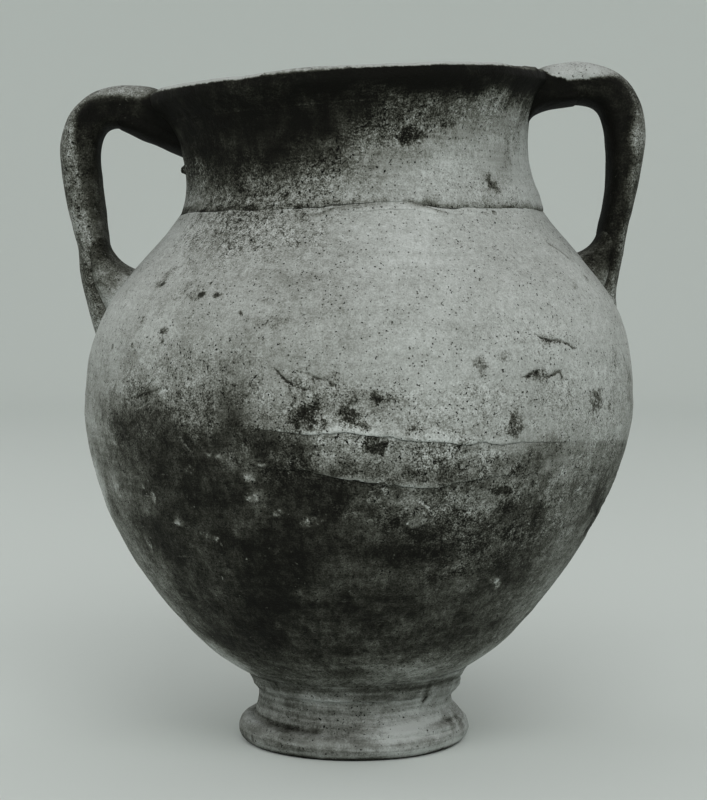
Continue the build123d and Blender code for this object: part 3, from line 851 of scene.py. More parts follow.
# How plain the seams are round the jar, in millimetres of step: smeared over at the sides
UPPER_STEP = SEAM_STEP * around(ANGLE, (
    (-180, 0.7), (-140, 0.5), (-100, 0.15), (-50, 0.08), (-22, 0.15), (-10, 0.9), (10, 1.0), (25, 0.8),
    (40, 0.25), (52, 0.08), (80, 0.05), (110, 0.2), (150, 0.6),
))
LOWER_STEP = SEAM_STEP * around(ANGLE, (
    (-180, 0.7), (-140, 0.4), (-100, 0.10), (-50, 0.05), (-22, 0.10), (-8, 0.9), (10, 1.0), (20, 0.8),
    (30, 0.3), (42, 0.08), (75, 0.05), (110, 0.2), (150, 0.6),
))
BOTH_STEPS = UPPER_STEP + LOWER_STEP

# How far each lapping edge stands proud and how pale it is painted, round the jar: worn, and partly a painted
# highlight where the lip catches the light
LIP_PROUD = {
    "shoulder": (
        (-180, 0.6), (-60, 0.0), (-24, 0.1), (-10, 1.1), (15, 1.0), (30, 0.35), (50, 0.0), (80, 0.0),
        (120, 0.4),
    ),
    "belly_course": (
        (-180, 0.5), (-60, 0.0), (-18, 0.0), (-6, 1.1), (20, 1.2), (30, 0.2), (60, 0.0), (120, 0.4),
    ),
}
LIP_WEAR_AND_HIGHLIGHT = {
    "shoulder": (
        (-180, 0.4), (-60, 0.0), (-20, 0.1), (-10, 0.6), (12, 0.5), (24, 0.2), (40, 0.0), (80, 0.0),
        (120, 0.2),
    ),
    "belly_course": (
        (-180, 0.3), (-60, 0.0), (-14, 0.0), (-5, 0.6), (12, 0.5), (20, 0.40), (28, 0.1), (34, 0.0),
        (90, 0.1), (130, 0.3),
    ),
}

# The flaked stretch at the lower right: middle and width by angle and height, its grain and its depth
FLAKED_ANGLE = (70.0, 16.0)
FLAKED_HEIGHT = (192.0, 26.0)
FLAKED_GRAIN = ((1.0, 12.0, 45), (0.5, 5.0, 46))
FLAKED_DEPTH = 1.3


def wall_course(node, slot, low_line, high_line, set_back, low_step, high_step, low_lip, high_bevel):
    """One course of the wall between two wandering lines, with a rounded lip along its lower edge."""
    low_run, high_run = (np.interp(line, OUTSIDE[:, 1], OUTSIDE_RUN) for line in (low_line, high_line))
    run = low_run + (high_run - low_run) * rows_between(float(np.mean(high_run - low_run)), OUTER_ROW)
    from_low = run - low_run
    from_high = high_run - run
    outer_height = np.interp(run, OUTSIDE_RUN, OUTSIDE[:, 1])
    outer_radius = np.interp(run, OUTSIDE_RUN, OUTSIDE[:, 0])
    outer_radius = outer_radius - set_back * smooth(SEAT_HEIGHT, SEAT_HEIGHT + SET_BACK_RISE, outer_height)
    outer_radius = outer_radius + along(outer_height, FULLER) - TRIM * smooth(*TRIM_RISE, outer_height)
    rounded = low_step * np.exp(-from_low / SEAM_REACH) + high_step * np.exp(-from_high / SEAM_REACH)
    outer_radius = outer_radius - SEAM_ROUND * rounded
    rise = WALL * SEAM_BEVEL
    inner_low = np.clip(low_line + rise * low_lip, FLOOR_HEIGHT, JOINT_HEIGHT)
    inner_high = np.clip(high_line + rise * high_bevel, FLOOR_HEIGHT, JOINT_HEIGHT)
    inner_shares = rows_between(float(np.mean(inner_high - inner_low)), INNER_ROW)[::-1]
    inner_height = inner_low + (inner_high - inner_low) * inner_shares
    radius = shell_rows(outer_radius, inside_radius(inner_height))
    points = upright(radius, shell_rows(outer_height, inner_height))

    rows = len(outer_height)
    outside = points[:rows]
    angle = face_angle(outside)
    line, line_on, line_gap = cut_lines(angle, outside[..., 2], CRACKS)
    flaked = bump(angle, *FLAKED_ANGLE) * bump(outside[..., 2], *FLAKED_HEIGHT)
    flaked = flaked * smooth(-0.05, 0.35, layers(outside, FLAKED_GRAIN))
    relief = clay_relief(outside) - scars(outside) - FLAKED_DEPTH * flaked
    relief = relief - CRACK_DEPTH * np.abs(line_on) * bump(line_gap, 0.0, CRACK_WIDTH)
    worn = np.zeros(outside.shape[:-1])
    if low_lip:
        proud = around(ANGLE, LIP_PROUD[node]) * (0.65 + 0.5 * noise(BELT, 22.0, 43))
        relief = relief + proud * bump(from_low, 0.0, LIP_RISE)
        # The pale band along the lip: wear, and partly a painted highlight
        patchy = 0.25 + 0.9 * smooth(-0.5, 0.5, noise(outside, 11.0, 41))
        worn = around(ANGLE, LIP_WEAR_AND_HIGHLIGHT[node]) * patchy * bump(from_low, 0.0, LIP_PALE_WIDTH)
    push = np.zeros(points.shape[:-1])
    push[:rows] = relief
    inner = slice(rows + len(CROSS_SHARES), len(points) - len(CROSS_SHARES))
    push[inner] = 0.6 * clay_relief(points[inner], INNER_SEED)
    moved = pushed(points, push, face_edges(rows))

    paint = painted(points, inner_stain(moved, 0.62))
    paint["stain_and_shade"][:rows] = body_stain_and_shade(outside) + 0.10 * flaked - 0.5 * worn
    paint["speck"][:rows] = body_specks(outside)
    paint["blot"][:rows] = spread(outside, BLOTS)
    paint["line"][:rows] = line
    paint["line_on"][:rows] = line_on
    paint["wear"][:rows] = spread(outside, FLAKES) + worn
    make_piece(node, slot, moved, paint, sharp_rows=(0, rows - 1))


# Courses: node, slot, line below and above, set back, step below and above, lip below, bevel above
COURSES = (
    ("lower_body", "lower_clay", SEAT_LINE, LOWER_EDGE, BOTH_STEPS, 0.0, LOWER_STEP, 0.0, 1.0),
    ("belly_course", "lower_clay", LOWER_EDGE, UPPER_EDGE, UPPER_STEP, LOWER_STEP, UPPER_STEP, 1.0, 1.0),
    ("shoulder", "shoulder_clay", UPPER_EDGE, JOINT_LINE, 0.0, UPPER_STEP, UPPER_STEP, 1.0, 0.0),
)
for course in COURSES:
    wall_course(*course)


# Neck and rim

NECK_ARC = arc_through((JOINT_RADIUS, 0.0), NECK_WAIST, NECK_TOP)
NECK_INNER_ARC = arc_through(
    (JOINT_RADIUS - WALL, 0.0), (NECK_WAIST[0] - WALL, NECK_WAIST[1]), (NECK_TOP[0] - WALL, NECK_INNER_TOP)
)
NECK_EDGE_GAP = 0.8
NECK_SPREAD = 9.0

# The groove under the neck, round the jar: how open it is, how dark its painted shade is, and how far the
# painted shade reaches
GROOVE_OPEN = (
    (-180, 0.6), (-120, 0.4), (-80, 0.10), (-35, 0.06), (-15, 0.06), (5, 0.10), (15, 0.12), (50, 0.14),
    (80, 0.2), (120, 0.5),
)
GROOVE_SHADE = (
    (-180, 0.45), (-70, 0.34), (-44, 0.34), (-32, 0.32), (-22, 0.32), (-12, 0.36), (-6, 0.28), (0, 0.12),
    (14, 0.16), (19, 0.45), (24, 0.76), (36, 0.82), (47, 0.55), (60, 0.32), (75, 0.32), (120, 0.45),
)
GROOVE_REACH = (
    (-180, 3.5), (-60, 4.6), (-12, 4.8), (0, 3.4), (14, 3.0), (24, 3.7), (38, 3.7), (63, 3.6), (120, 3.5),
)
GROOVE_SHADE_BLOT = 0.4

# Broken spots on the neck: angle, height, size, and how far they stand out, or in below 0
NECK_NICKS = (
    (-88, 457, 4.5, 3.6), (-86, 463, 5.0, -1.8), (-87, 450, 5.0, -1.8), (-89, 443, 4.0, -1.2),
    (-84, 470, 5.0, -1.0), (-93, 459, 4.0, 2.4), (40, 468, 6.0, -0.8), (12, 478, 7.0, -0.7),
)

# Height lost from the lip, round the rim: a broken stretch beside the right handle; and how pale its edge is
# painted: worn, and partly a painted highlight on the rounded top
LIP_LOSS = (
    (-180, 0.0), (-150, 1.2), (-140, 0.2), (-60, 0.0), (-34, 0.2), (-30, 1.3), (-25, 0.3), (44, 0.2),
    (50, 1.0), (56, 2.8), (64, 3.2), (72, 2.6), (80, 1.8), (92, 1.2), (98, 0.6), (110, 0.2), (150, 0.4),
)
RIM_WEAR_AND_HIGHLIGHT = (
    (-180, 0.7), (-112, 0.9), (-100, 0.15), (-76, 0.15), (-62, 0.8), (-40, 0.9), (-20, 0.55), (0, 0.6),
    (20, 0.8), (46, 0.8), (55, 0.3), (78, 0.3), (95, 0.9), (130, 0.8),
)


def nicks(points):
    """Bits broken off or standing up on the neck, in millimetres along the normal."""
    angle = face_angle(points)
    rough = 1.2 * noise(points, 5.0, 69)
    push = np.zeros(angle.shape)
    for mark_angle, mark_height, size, amount in NECK_NICKS:
        arc = np.radians(angle - mark_angle) * JOINT_RADIUS
        push += amount * smooth(size, 0.3 * size, np.hypot(arc, points[..., 2] - mark_height) + rough)
    return push


def groove_shade(points, gap):
    """How dark the painted shade in the crease under the neck is at a gap above or below it."""
    clumped = smooth(-0.35, 0.3, noise(points, 13.0, 65))
    reach = around(ANGLE, GROOVE_REACH) * (1.0 + 0.4 * noise(points, 9.0, 68))
    return around(ANGLE, GROOVE_SHADE) * (0.45 + 0.7 * clumped) * bump(gap, 0.0, reach)


def neck():
    """The leaning collar, cut along its wavering joint, and dark under the rim with staining and painted
    shadow.
    """
    opened = around(ANGLE, GROOVE_OPEN) * (0.75 + 0.45 * noise(BELT, 18.0, 68))
    foot = JOINT_LINE - JOINT_HEIGHT - RIGHT * JOINT_RADIUS * math.tan(LEAN) + NECK_EDGE_GAP * opened
    outer_height = foot + (NECK_TOP[1] - foot) * rows_between(NECK_TOP[1], OUTER_ROW)
    from_foot = outer_height - foot
    outer_radius = np.interp(outer_height, NECK_ARC[:, 1], NECK_ARC[:, 0])
    overhang = np.maximum(0.0, outside_radius(JOINT_LINE) - TRIM - JOINT_RADIUS)
    outer_radius = outer_radius + overhang * bump(from_foot, 0.0, NECK_SPREAD)
    outer_radius = outer_radius + opened * (0.9 * bump(from_foot, 0.0, 4.0) - 1.4 * np.exp(-from_foot / 0.8))
    inner_height = foot + (NECK_INNER_TOP - foot) * rows_between(NECK_INNER_TOP, INNER_ROW)[::-1]
    inner_radius_rows = np.interp(inner_height, NECK_INNER_ARC[:, 1], NECK_INNER_ARC[:, 0])
    points = leaning(shell_rows(outer_radius, inner_radius_rows), shell_rows(outer_height, inner_height))
    rows = len(outer_height)
    outside = points[:rows]
    push = 0.5 * clay_relief(points, INNER_SEED)
    push[:rows] = clay_relief(outside) - scars(outside) + nicks(outside)
    push *= smooth(0.0, 3.0, points[..., 2] - JOINT_LINE)
    moved = pushed(points, push, face_edges(rows))

    paint = painted(points, inner_stain(moved, 0.6))
    stain_and_shade = neck_stain_and_shadow(outside)
    # Painted shade in the crease under the neck's edge, added to the paint and its blots
    dark = groove_shade(outside, from_foot)
    paler = 0.12 * bump(ANGLE, -20.0, 17.0) * bump(from_foot, 0.0, 10.0)
    paint["stain_and_shade"][:rows] = stain_and_shade + 0.85 * dark - paler
    paint["blot"][:rows] = spread(outside, BLOTS) + GROOVE_SHADE_BLOT * dark
    paint["speck"][:rows] = 0.46 + 0.25 * clouds(outside, 26.0, 66)
    paint["speck"][:rows] += 0.55 * within(stain_and_shade, HALF_DARK)
    make_piece("neck", "neck_clay", moved, paint, sharp_rows=(0, rows - 1))


def rim():
    """The flaring lip, worn and painted with a highlight along its edge, and broken beside the right handle.
    """
    flare_edge = (RIM_REACH, RIM_EDGE)
    flare_start = np.add(NECK_TOP, FLARE_FOOT_PULL)
    flare_end = np.subtract(flare_edge, FLARE_EDGE_PULL)
    flare = bezier((NECK_TOP, flare_start, flare_end, flare_edge))
    edge = [(RIM_REACH, RIM_EDGE + 1.8), (RIM_REACH + 0.2, RIM_EDGE + 3.6), (RIM_REACH, RIM_TOP - LIP_ROUND)]
    turn = np.linspace(0.0, math.pi / 2, 6)[:, None]
    rounding = LIP_ROUND * np.hstack([np.cos(turn), np.sin(turn)])
    outer_lip = (RIM_REACH - LIP_ROUND, RIM_TOP - LIP_ROUND) + rounding
    inner_lip = (RIM_INNER_RADIUS + LIP_ROUND, RIM_TOP - LIP_ROUND) + rounding[:, ::-1] * (-1.0, 1.0)
    top = resample([outer_lip[-1], inner_lip[0]], OUTER_ROW)[1:-1]
    back = resample([inner_lip[-1], (NECK_TOP[0] - WALL, NECK_INNER_TOP)], OUTER_ROW)[1:]
    under = resample([back[-1], NECK_TOP], COARSE_ROW)[1:-1]
    plain_radius, plain_height = all_round(
        [resample(flare, OUTER_ROW), edge, outer_lip[1:], top, inner_lip, back, under]
    )
    loss = around(ANGLE, LIP_LOSS)
    jag = noise(leaning(RIM_REACH + 0.0 * ANGLE, RIM_TOP), 7.0, 81) * smooth(0.4, 3.0, loss)
    loss = np.maximum(0.0, loss + 1.4 * jag)
    outward = smooth(RIM_INNER_RADIUS + 4.0, RIM_REACH, plain_radius)
    exposed = smooth(RIM_EDGE - 6.0, RIM_TOP, plain_height) * outward
    points = leaning(plain_radius - 0.55 * loss * exposed, plain_height - loss * exposed)
    push = clay_relief(points) - scars(points)
    push += 0.5 * noise(points, 5.0, 82) * smooth(0.6, 3.0, loss) * exposed
    push *= smooth(NECK_TOP[0] - 1.0, NECK_TOP[0], plain_radius)
    points = pushed(points, push, [(0, 1)])
    outer = smooth(NECK_TOP[0] - 2.0, NECK_TOP[0] + 1.0, plain_radius)
    outer = outer * smooth(RIM_TOP, RIM_TOP - 4.0, plain_height)
    # The outer face is painted like the neck, with painted shadow under the lip; the inside is stained
    stain_and_shade = neck_stain_and_shadow(points) * outer + inner_stain(points, 0.5) * (1.0 - outer)
    # A pale band along the lip's top edge: wear, and partly a painted highlight
    lip = bump(plain_height, RIM_TOP - 0.8, 2.2) * smooth(RIM_REACH - 9.0, RIM_REACH - 2.0, plain_radius)
    speck = 0.5 + 0.5 * outer * smooth(0.95, 0.70, stain_and_shade)
    paint = painted(points, stain_and_shade, wear=1.3 * lip * around(ANGLE, RIM_WEAR_AND_HIGHLIGHT), speck=speck)
    make_piece("rim", "neck_clay", points, paint, sharp_rows=(0,))


neck()
rim()


# Neck band: the smear of clay under the neck's edge, between the groove's painted shade and a faint line of
# painted shade under the band's lower edge

BAND_TOP = JOINT_LINE + 0.1
BAND_SINK = 3.0
BAND_BED = 0.3
BAND_PEAK = 0.48
BAND_ROWS = 15
BAND_INNER_ROWS = 4

# How tall the band is, how far it stands proud, and how plain its lower edge is painted, round the jar:
# painted shade under the edge and a paler worn crest above it
BAND_HEIGHT = (
    (-180, 7.5), (-60, 9.5), (-29, 9.6), (-15, 8.0), (-2, 6.2), (20, 6.0), (45, 5.5), (80, 7.0), (130, 8.5),
)
BAND_PROUD = (
    (-180, 0.8), (-80, 0.1), (-40, 0.15), (-28, 0.25), (-12, 0.35), (0, 0.85), (16, 0.9), (28, 0.3),
    (60, 0.1), (120, 0.7),
)
BAND_EDGE_SHADE_AND_WEAR = ((-180, 0.3), (-42, 0.0), (-28, 0.0), (-12, 0.05), (-2, 0.8), (14, 1.0), (26, 0.0), (120, 0.2))


def neck_band():
    """A thin strap of clay bedded on the shoulder."""
    tall = around(ANGLE, BAND_HEIGHT) + 1.0 * clouds(BELT, 34.0, 91)
    share = np.linspace(0.0, 1.0, BAND_ROWS)[:, None] ** 1.3
    outer_height = BAND_TOP - tall * (1.0 - share)
    proud = around(ANGLE, BAND_PROUD) * np.sin(math.pi * share ** BAND_PEAK)
    outer_radius = outside_radius(outer_height) - TRIM + proud - BAND_BED
    inner_height = BAND_TOP - tall * (1.0 - np.linspace(1.0, 0.0, BAND_INNER_ROWS)[:, None])
    inner_radius_rows = outside_radius(inner_height) - TRIM - BAND_SINK
    points = upright(np.vstack([outer_radius, inner_radius_rows]), np.vstack([outer_height, inner_height]))
    rows = len(outer_height)
    points = pushed(points, clay_relief(points) - 0.5 * scars(points), face_edges(rows))
    outside = points[:rows]
    paint = painted(points, body_stain_and_shade(points), speck=body_specks(points))
    # Painted shade in the crease under the neck's edge
    dark = groove_shade(outside, BAND_TOP - outer_height)
    edge_shade_and_wear = around(ANGLE, BAND_EDGE_SHADE_AND_WEAR) * (0.7 + 0.5 * noise(outside, 14.0, 92))
    paint["blot"][:rows] = spread(outside, BLOTS) + GROOVE_SHADE_BLOT * dark
    # Painted shade along the band's lower edge, and a paler worn crest above it
    edge_shade_and_wear = edge_shade_and_wear * (0.14 * smooth(0.10, 0.0, share) - 0.12 * bump(share, 0.22, 0.16))
    paint["stain_and_shade"][:rows] += 0.9 * dark + edge_shade_and_wear
    make_piece("neck_band", "shoulder_clay", points, paint, sharp_rows=(0, rows - 1))


neck_band()


# Foot

STEM_WAIST = (77.0, 34.2)
STEM_BASE_RADIUS = 81.0
STEM_WALL = 15.0
STEM_FULLNESS = 8.0
STEM_FULLEST = (46.0, 8.5)
STEM_ROW = 1.6
SKIRT_ROW = 1.5
SKIRT_FLARE = 0.96
COLLAR_FULLNESS = 3.0
ROLL_RADIUS = 10.5
ROLL_ROWS = 22
RING_ROW = 2.5
FLARE_REACH = 10.0
FLARE_FADE = (17.0, -3.0)
FLARE_POWER = 1.6
GROOVE_DEPTH = 2.2
FOOT_SPECK = 0.38
DISC_HUB = 4.0
WHEEL_PITCH = 9.0
WHEEL_RIPPLE = 0.9
COIL_ROWS = 28
COLLAR_ROWS = 34

# How far the stem flares out over the ring, where the groove between them has worn away, and that groove
FLARE_FILL = (
    (-180, 0.3), (-120, 0.1), (-60, 0.1), (-30, 0.2), (-10, 0.5), (8, 0.9), (40, 1.0), (80, 0.9), (110, 0.5),
)
FOOT_GROOVE = (
    (-180, 0.6), (-90, 0.9), (-50, 0.9), (-25, 0.6), (-8, 0.3), (8, 0.0), (80, 0.0), (120, 0.4),
)

# Marks on the foot, windows of the angle where it is paler and chipped, and cracks
FOOT_MARKS = (
    (34, 12, 14, 4, 0.17), (26, 8, 8, 3, 0.14), (-42, 36, 20, 8, 0.08), (70, 17, 6, 10, 0.16),
    (42, 46, 4, 10, 0.22), (60, 22, 4, 8, 0.20), (-5, 17, 14, 3, 0.12), (-70, 6, 18, 4, 0.18),
    (-52, 14, 26, 7, 0.05), (-40, 13, 40, 10, 0.08), (75, 46, 18, 9, -0.16), (22, 22, 24, 6, -0.20),
    (-20, 44, 24, 5, -0.16), (44, 45, 14, 8, -0.14),
)
FOOT_PALE = ((-5.0, 30.0), (85.0, 120.0))
FOOT_CHIPPED = ((28.0, 50.0), (85.0, 110.0))
FOOT_CRACKS = (
    (0.8, ((42.0, 56.0), (44.0, 48.0), (41.0, 40.0))),
    (0.5, ((-40.0, 53.0), (-25.0, 50.0), (-8.0, 51.0))),
    (0.5, ((5.0, 44.0), (25.0, 44.5))),
    (0.7, ((150.0, 54.0), (146.0, 44.0), (148.0, 34.0))),
)

# The coil round the top of the stem, smeared into a hollow fillet: radius and height past the stem's top
COLLAR = (
    (6.0, 7.5), (-2.0, 5.0), (-5.0, 0.0), (-4.5, -9.0), (-1.6, -10.5), (-0.2, -7.0), (1.4, -3.4), (3.2, -0.4),
    (5.6, 2.2), (9.0, 4.6), (12.0, 6.6),
)

# Noises of the foot's stain and relief, with the stretch of those that follow the wheel
FOOT_STREAKS = ((0.12, 2.2, 102), (0.05, 7.5, 103))
FOOT_STREAK_STRETCH = np.array([0.07, 0.07, 1.0])
FOOT_LUMPS = ((0.8, 50.0, 108), (0.4, 20.0, 109), (0.2, 8.0, 110))
FOOT_TURNING = ((0.22, 3.4, 105), (0.25, 8.0, 107))
FOOT_TURNING_STRETCH = np.array([0.12, 0.12, 1.0])
FOOT_CHIPS = ((1.0, 9.0, 111), (0.8, 4.5, 112))
SMEAR_STRETCH = np.array([0.2, 0.2, 1.0])
SMEAR_SLANT = 0.22


def foot_stain_and_shade(points):
    """Painted darkness of the foot: mid grey at the left, paler at the right and along the ring, with painted
    shade at its top under the body's edge.
    """
    angle = face_angle(points)
    height = points[..., 2]
    stain_and_shade = 0.42 - 0.22 * within(angle, FOOT_PALE) * smooth(50.0, 22.0, height)
    # Darker toward the top: painted shade under the body's bottom edge
    stain_and_shade += 0.26 * smooth(44.0, 60.0, height) - 0.08 * bump(angle, 30.0, 20.0) * smooth(60.0, 40.0, height)
    stain_and_shade += spread(points, FOOT_MARKS, lambda mark_height: STEM_BASE_RADIUS)
    stain_and_shade += layers(points * FOOT_STREAK_STRETCH, FOOT_STREAKS)
    return stain_and_shade + 0.05 * clouds(points, 30.0, 101) + 0.06 * noise(points, 6.0, 104)


def foot_relief(points):
    """Unevenness of the foot: fine turning lines and smeared clay, chipped at the right."""
    slanted = points.copy()
    slanted[..., 2] += SMEAR_SLANT * points[..., 0]
    smears = smooth(36.0, 50.0, points[..., 2]) * noise(slanted * SMEAR_STRETCH, 6.0, 106)
    turning = layers(points * FOOT_TURNING_STRETCH, FOOT_TURNING)
    angle = face_angle(points)
    chipped = within(angle, FOOT_CHIPPED) * (layers(points, FOOT_CHIPS) - 0.4)
    return layers(points, FOOT_LUMPS) + turning + 0.75 * smears - 0.6 * scars(points, 5) + chipped


def foot_stem():
    """The concave stem, which flares over the ring at the right and is hollow below."""
    arc = arc_through((STEM_BASE_RADIUS, RING_TOP), STEM_WAIST, (STEM_TOP_RADIUS, STEM_TOP))
    outer = resample(arc, STEM_ROW)
    skirt = resample([(STEM_BASE_RADIUS, STEM_FOOT), (STEM_BASE_RADIUS, RING_TOP)], SKIRT_ROW)[:-1]
    inner_line = [(STEM_BASE_RADIUS, STEM_FOOT), STEM_WAIST, (STEM_TOP_RADIUS, STEM_TOP)]
    inner_arc = arc_through(*[(radius - STEM_WALL, height) for radius, height in inner_line])
    inner = resample(inner_arc, HIDDEN_ROW)[::-1]
    top = resample([outer[-1], inner[0]], HIDDEN_ROW)[1:-1]
    bottom = resample([inner[-1], skirt[0]], HIDDEN_ROW)[1:-1]
    radius, height = all_round([skirt, outer, top, inner, bottom])
    start, end = len(skirt), len(skirt) + len(outer)
    fill = FLARE_REACH * around(ANGLE, FLARE_FILL)
    grooved = around(ANGLE, FOOT_GROOVE)
    above = height[start:end] - RING_TOP
    radius[:start] += SKIRT_FLARE * fill * smooth(RING_TOP - 9.0, RING_TOP - 5.0, height[:start])
    radius[start:end] += fill * smooth(*FLARE_FADE, above) ** FLARE_POWER
    radius[start:end] -= GROOVE_DEPTH * grooved * bump(above, 1.0, 2.4)
    radius[start:end] += STEM_FULLNESS * around(ANGLE, STEM_FULLER) * bump(height[start:end], *STEM_FULLEST)
    points = upright(radius, height)
    push = 0.5 * clay_relief(points, INNER_SEED)
    push[start:end] = foot_relief(points[start:end])
    push[:start] = 0.0
    points = pushed(points, push)
    line, line_on, _ = cut_lines(face_angle(points), points[..., 2], FOOT_CRACKS)
    paint = painted(points, inner_stain(points, 0.5), speck=FOOT_SPECK, line=line, line_on=line_on)
    paint["stain_and_shade"][:end] = foot_stain_and_shade(points[:end])
    # Painted shade in the groove between the stem and the ring
    paint["stain_and_shade"][start:end] += 0.34 * grooved * bump(above, 0.5, 2.0)
    make_piece("foot_stem", "foot_clay", points, paint)


def foot_ring():
    """The rolled ring that the jar stands on, worn flat where it rests."""
    center = np.array([RING_RADIUS - ROLL_RADIUS, RING_TOP - ROLL_RADIUS])
    lowest = -math.asin(center[1] / ROLL_RADIUS)
    highest = math.acos((STEM_BASE_RADIUS - center[0]) / ROLL_RADIUS)
    sweep = np.linspace(lowest, highest, ROLL_ROWS)[:, None]
    roll = center + ROLL_RADIUS * np.hstack([np.cos(sweep), np.sin(sweep)])
    back = resample([roll[-1], (STEM_BASE_RADIUS, 0.0)], COARSE_ROW)[1:]
    under = resample([back[-1], roll[0]], RING_ROW)[1:-1]
    radius, height = all_round([roll, back, under])
    points = upright(radius, height)
    rows = len(roll)
    grooved = around(ANGLE, FOOT_GROOVE)
    push = np.zeros(points.shape[:-1])
    push[:rows] = 0.8 * foot_relief(points[:rows]) - 0.3 * scars(points[:rows], 7)
    push[:rows] -= 1.4 * grooved * smooth(0.9, 1.6, sweep)
    push[:rows] *= smooth(0.0, 3.0, height[:rows])
    points = pushed(points, push)
    paint = painted(points, inner_stain(points, 0.5), speck=FOOT_SPECK)
    # Painted shade where the groove runs along the ring's inner top
    paint["stain_and_shade"][:rows] = foot_stain_and_shade(points[:rows]) - 0.06 + 0.15 * grooved * smooth(1.25, 1.65, sweep)
    # Painted contact shadow along the ring's bottom, where it rests on the floor
    paint["stain_and_shade"][:rows] += 0.8 * smooth(3.4, 0.2, height[:rows])
    paint["wear"][:rows] = 0.35 * bump(sweep, 0.5, 0.5)
    make_piece("foot_ring", "foot_clay", points, paint)


def coil(node, slot, radius, height, thickness, level, seed):
    """A pressed coil of clay along a joint, uneven where fingers smeared it."""
    sweep = np.linspace(0.0, 2 * math.pi, COIL_ROWS, endpoint=False)[:, None]
    thick = thickness + 0.7 * noise(upright(radius + 0.0 * ANGLE, height), 16.0, seed)
    points = upright(radius + thick * np.cos(sweep), height + 0.9 * thick * np.sin(sweep))
    push = 0.4 * noise(points, 7.0, seed + 1) + 0.5 * noise(points * SMEAR_STRETCH, 3.0, seed + 2)
    points = pushed(points, push)
    make_piece(node, slot, points, painted(points, inner_stain(points, level)))


def base_disc():
    """The floor of the jar, with the turns of the wheel left in its top."""
    floor_edge = (SEAT_INNER_RADIUS, FLOOR_HEIGHT)
    top = resample([floor_edge, (DISC_HUB, FLOOR_HEIGHT)], COARSE_ROW)
    bottom = resample([(DISC_HUB, STEM_TOP), (STEM_TOP_RADIUS, STEM_TOP)], HIDDEN_ROW)
    side = resample([(STEM_TOP_RADIUS, STEM_TOP), (SEAT_RADIUS, SEAT_HEIGHT), floor_edge], COARSE_ROW)
    radius, height = all_round([bottom[:-1], side[:-1], top])
    points = upright(radius, height)
    start = len(points) - len(top)
    turns = np.sin(2 * math.pi * (radius[start:] / WHEEL_PITCH + ANGLE / 360.0))
    ripple = WHEEL_RIPPLE * turns * smooth(SEAT_INNER_RADIUS, SEAT_INNER_RADIUS - 12.0, radius[start:])
    points[start:, :, 2] += ripple + 0.6 * noise(points[start:], 18.0, 121)
    make_piece("base_disc", "lower_clay", points, painted(points, inner_stain(points, 0.6)), capped=True)


def foot_collar():
    """The coil under the body, smeared up and down with slanting strokes."""
    section = spline(COLLAR + COLLAR[:1], np.linspace(0.0, len(COLLAR), COLLAR_ROWS)[:-1])
    past, rise = section[:, :1], section[:, 1:]
    fuller = COLLAR_FULLNESS * around(ANGLE, STEM_FULLER) * smooth(9.0, 3.0, past)
    points = upright(STEM_TOP_RADIUS + past + fuller, STEM_TOP + rise + 0.8 * clouds(BELT, 40.0, 131))
    points = pushed(points, (foot_relief(points) + 0.3) * smooth(-4.0, 0.0, past))
    upper = smooth(-2.0, 6.0, rise)
    stain_and_shade = foot_stain_and_shade(points) * (1.0 - upper) + body_stain_and_shade(points) * upper
    make_piece("foot_collar", "foot_clay", points, painted(points, stain_and_shade, speck=FOOT_SPECK))


foot_stem()
foot_ring()
base_disc()
foot_collar()
coil("foot_inner_coil", "foot_clay", STEM_TOP_RADIUS - STEM_WALL, STEM_TOP, 8.0, 0.45, 134)
coil("floor_coil", "lower_clay", SEAT_INNER_RADIUS, FLOOR_HEIGHT, 7.0, 0.6, 137)


# Handles

# The camera that the photograph was taken with: pixels, and millimetres for the distance and height
PHOTO_SIZE = (707, 800)
PHOTO_AXIS = 357.5
PHOTO_HORIZON = 252.0
PHOTO_MM = 0.8
CAMERA_DISTANCE = 1640.0
CAMERA_HEIGHT = 391.5
PITCH = math.atan((PHOTO_SIZE[1] / 2 - PHOTO_HORIZON) * PHOTO_MM / CAMERA_DISTANCE)
FOCAL_PIXELS = CAMERA_DISTANCE / PHOTO_MM * math.cos(PITCH)

# Outlines of each strap as the photograph shows them, an outer and an inner pixel at each station
LEFT_STRAP = (
    ((170, 97), (190, 147)), ((160, 90.5), (173, 143)), ((147, 87), (158, 139)), ((121, 85.5), (138, 132)),
    ((99, 91), (119, 129)), ((83, 101), (108, 132)), ((70, 116), (102.5, 143)), ((61, 143), (101, 160)),
    ((62, 170), (102, 180)), ((66.5, 197), (104.5, 202)), ((72.5, 226), (107.5, 225)),
    ((79, 249), (110, 247)), ((81, 272), (113, 268)), ((85, 292), (118, 288)), ((91, 313), (126, 310)),
    ((98, 337), (136, 331)),
)
RIGHT_STRAP = (
    ((531, 76), (521, 124)), ((541, 69.5), (532, 114)), ((556, 66), (552, 108)),
    ((578, 63.5), (574, 104.5)), ((600, 67), (589, 106)), ((618, 75.5), (598, 112)),
    ((631, 89), (603, 125)), ((640, 110), (606, 142)), ((643, 136), (606.5, 162)),
    ((640.5, 163), (605, 186)), ((637, 188), (602, 206)), ((631, 214), (598.5, 224)),
    ((625.5, 236), (596, 240)), ((621, 260), (592, 258)), ((616, 284), (586, 276)),
    ((615, 298), (580, 292)), ((617, 318), (576, 312)),
)

# Half the strap's width from front to back, and how much wider it is at the rim and at the shoulder
STRAP_HALF_WIDTH = 27.0
STRAP_RIM_SPREAD = 7.0
STRAP_SHOULDER_SPREAD = 5.0
STRAP_SQUARENESS = 2.7
STRAP_UNEVEN = ((0.8, 55.0, 141), (0.45, 22.0, 142), (0.2, 9.0, 143))

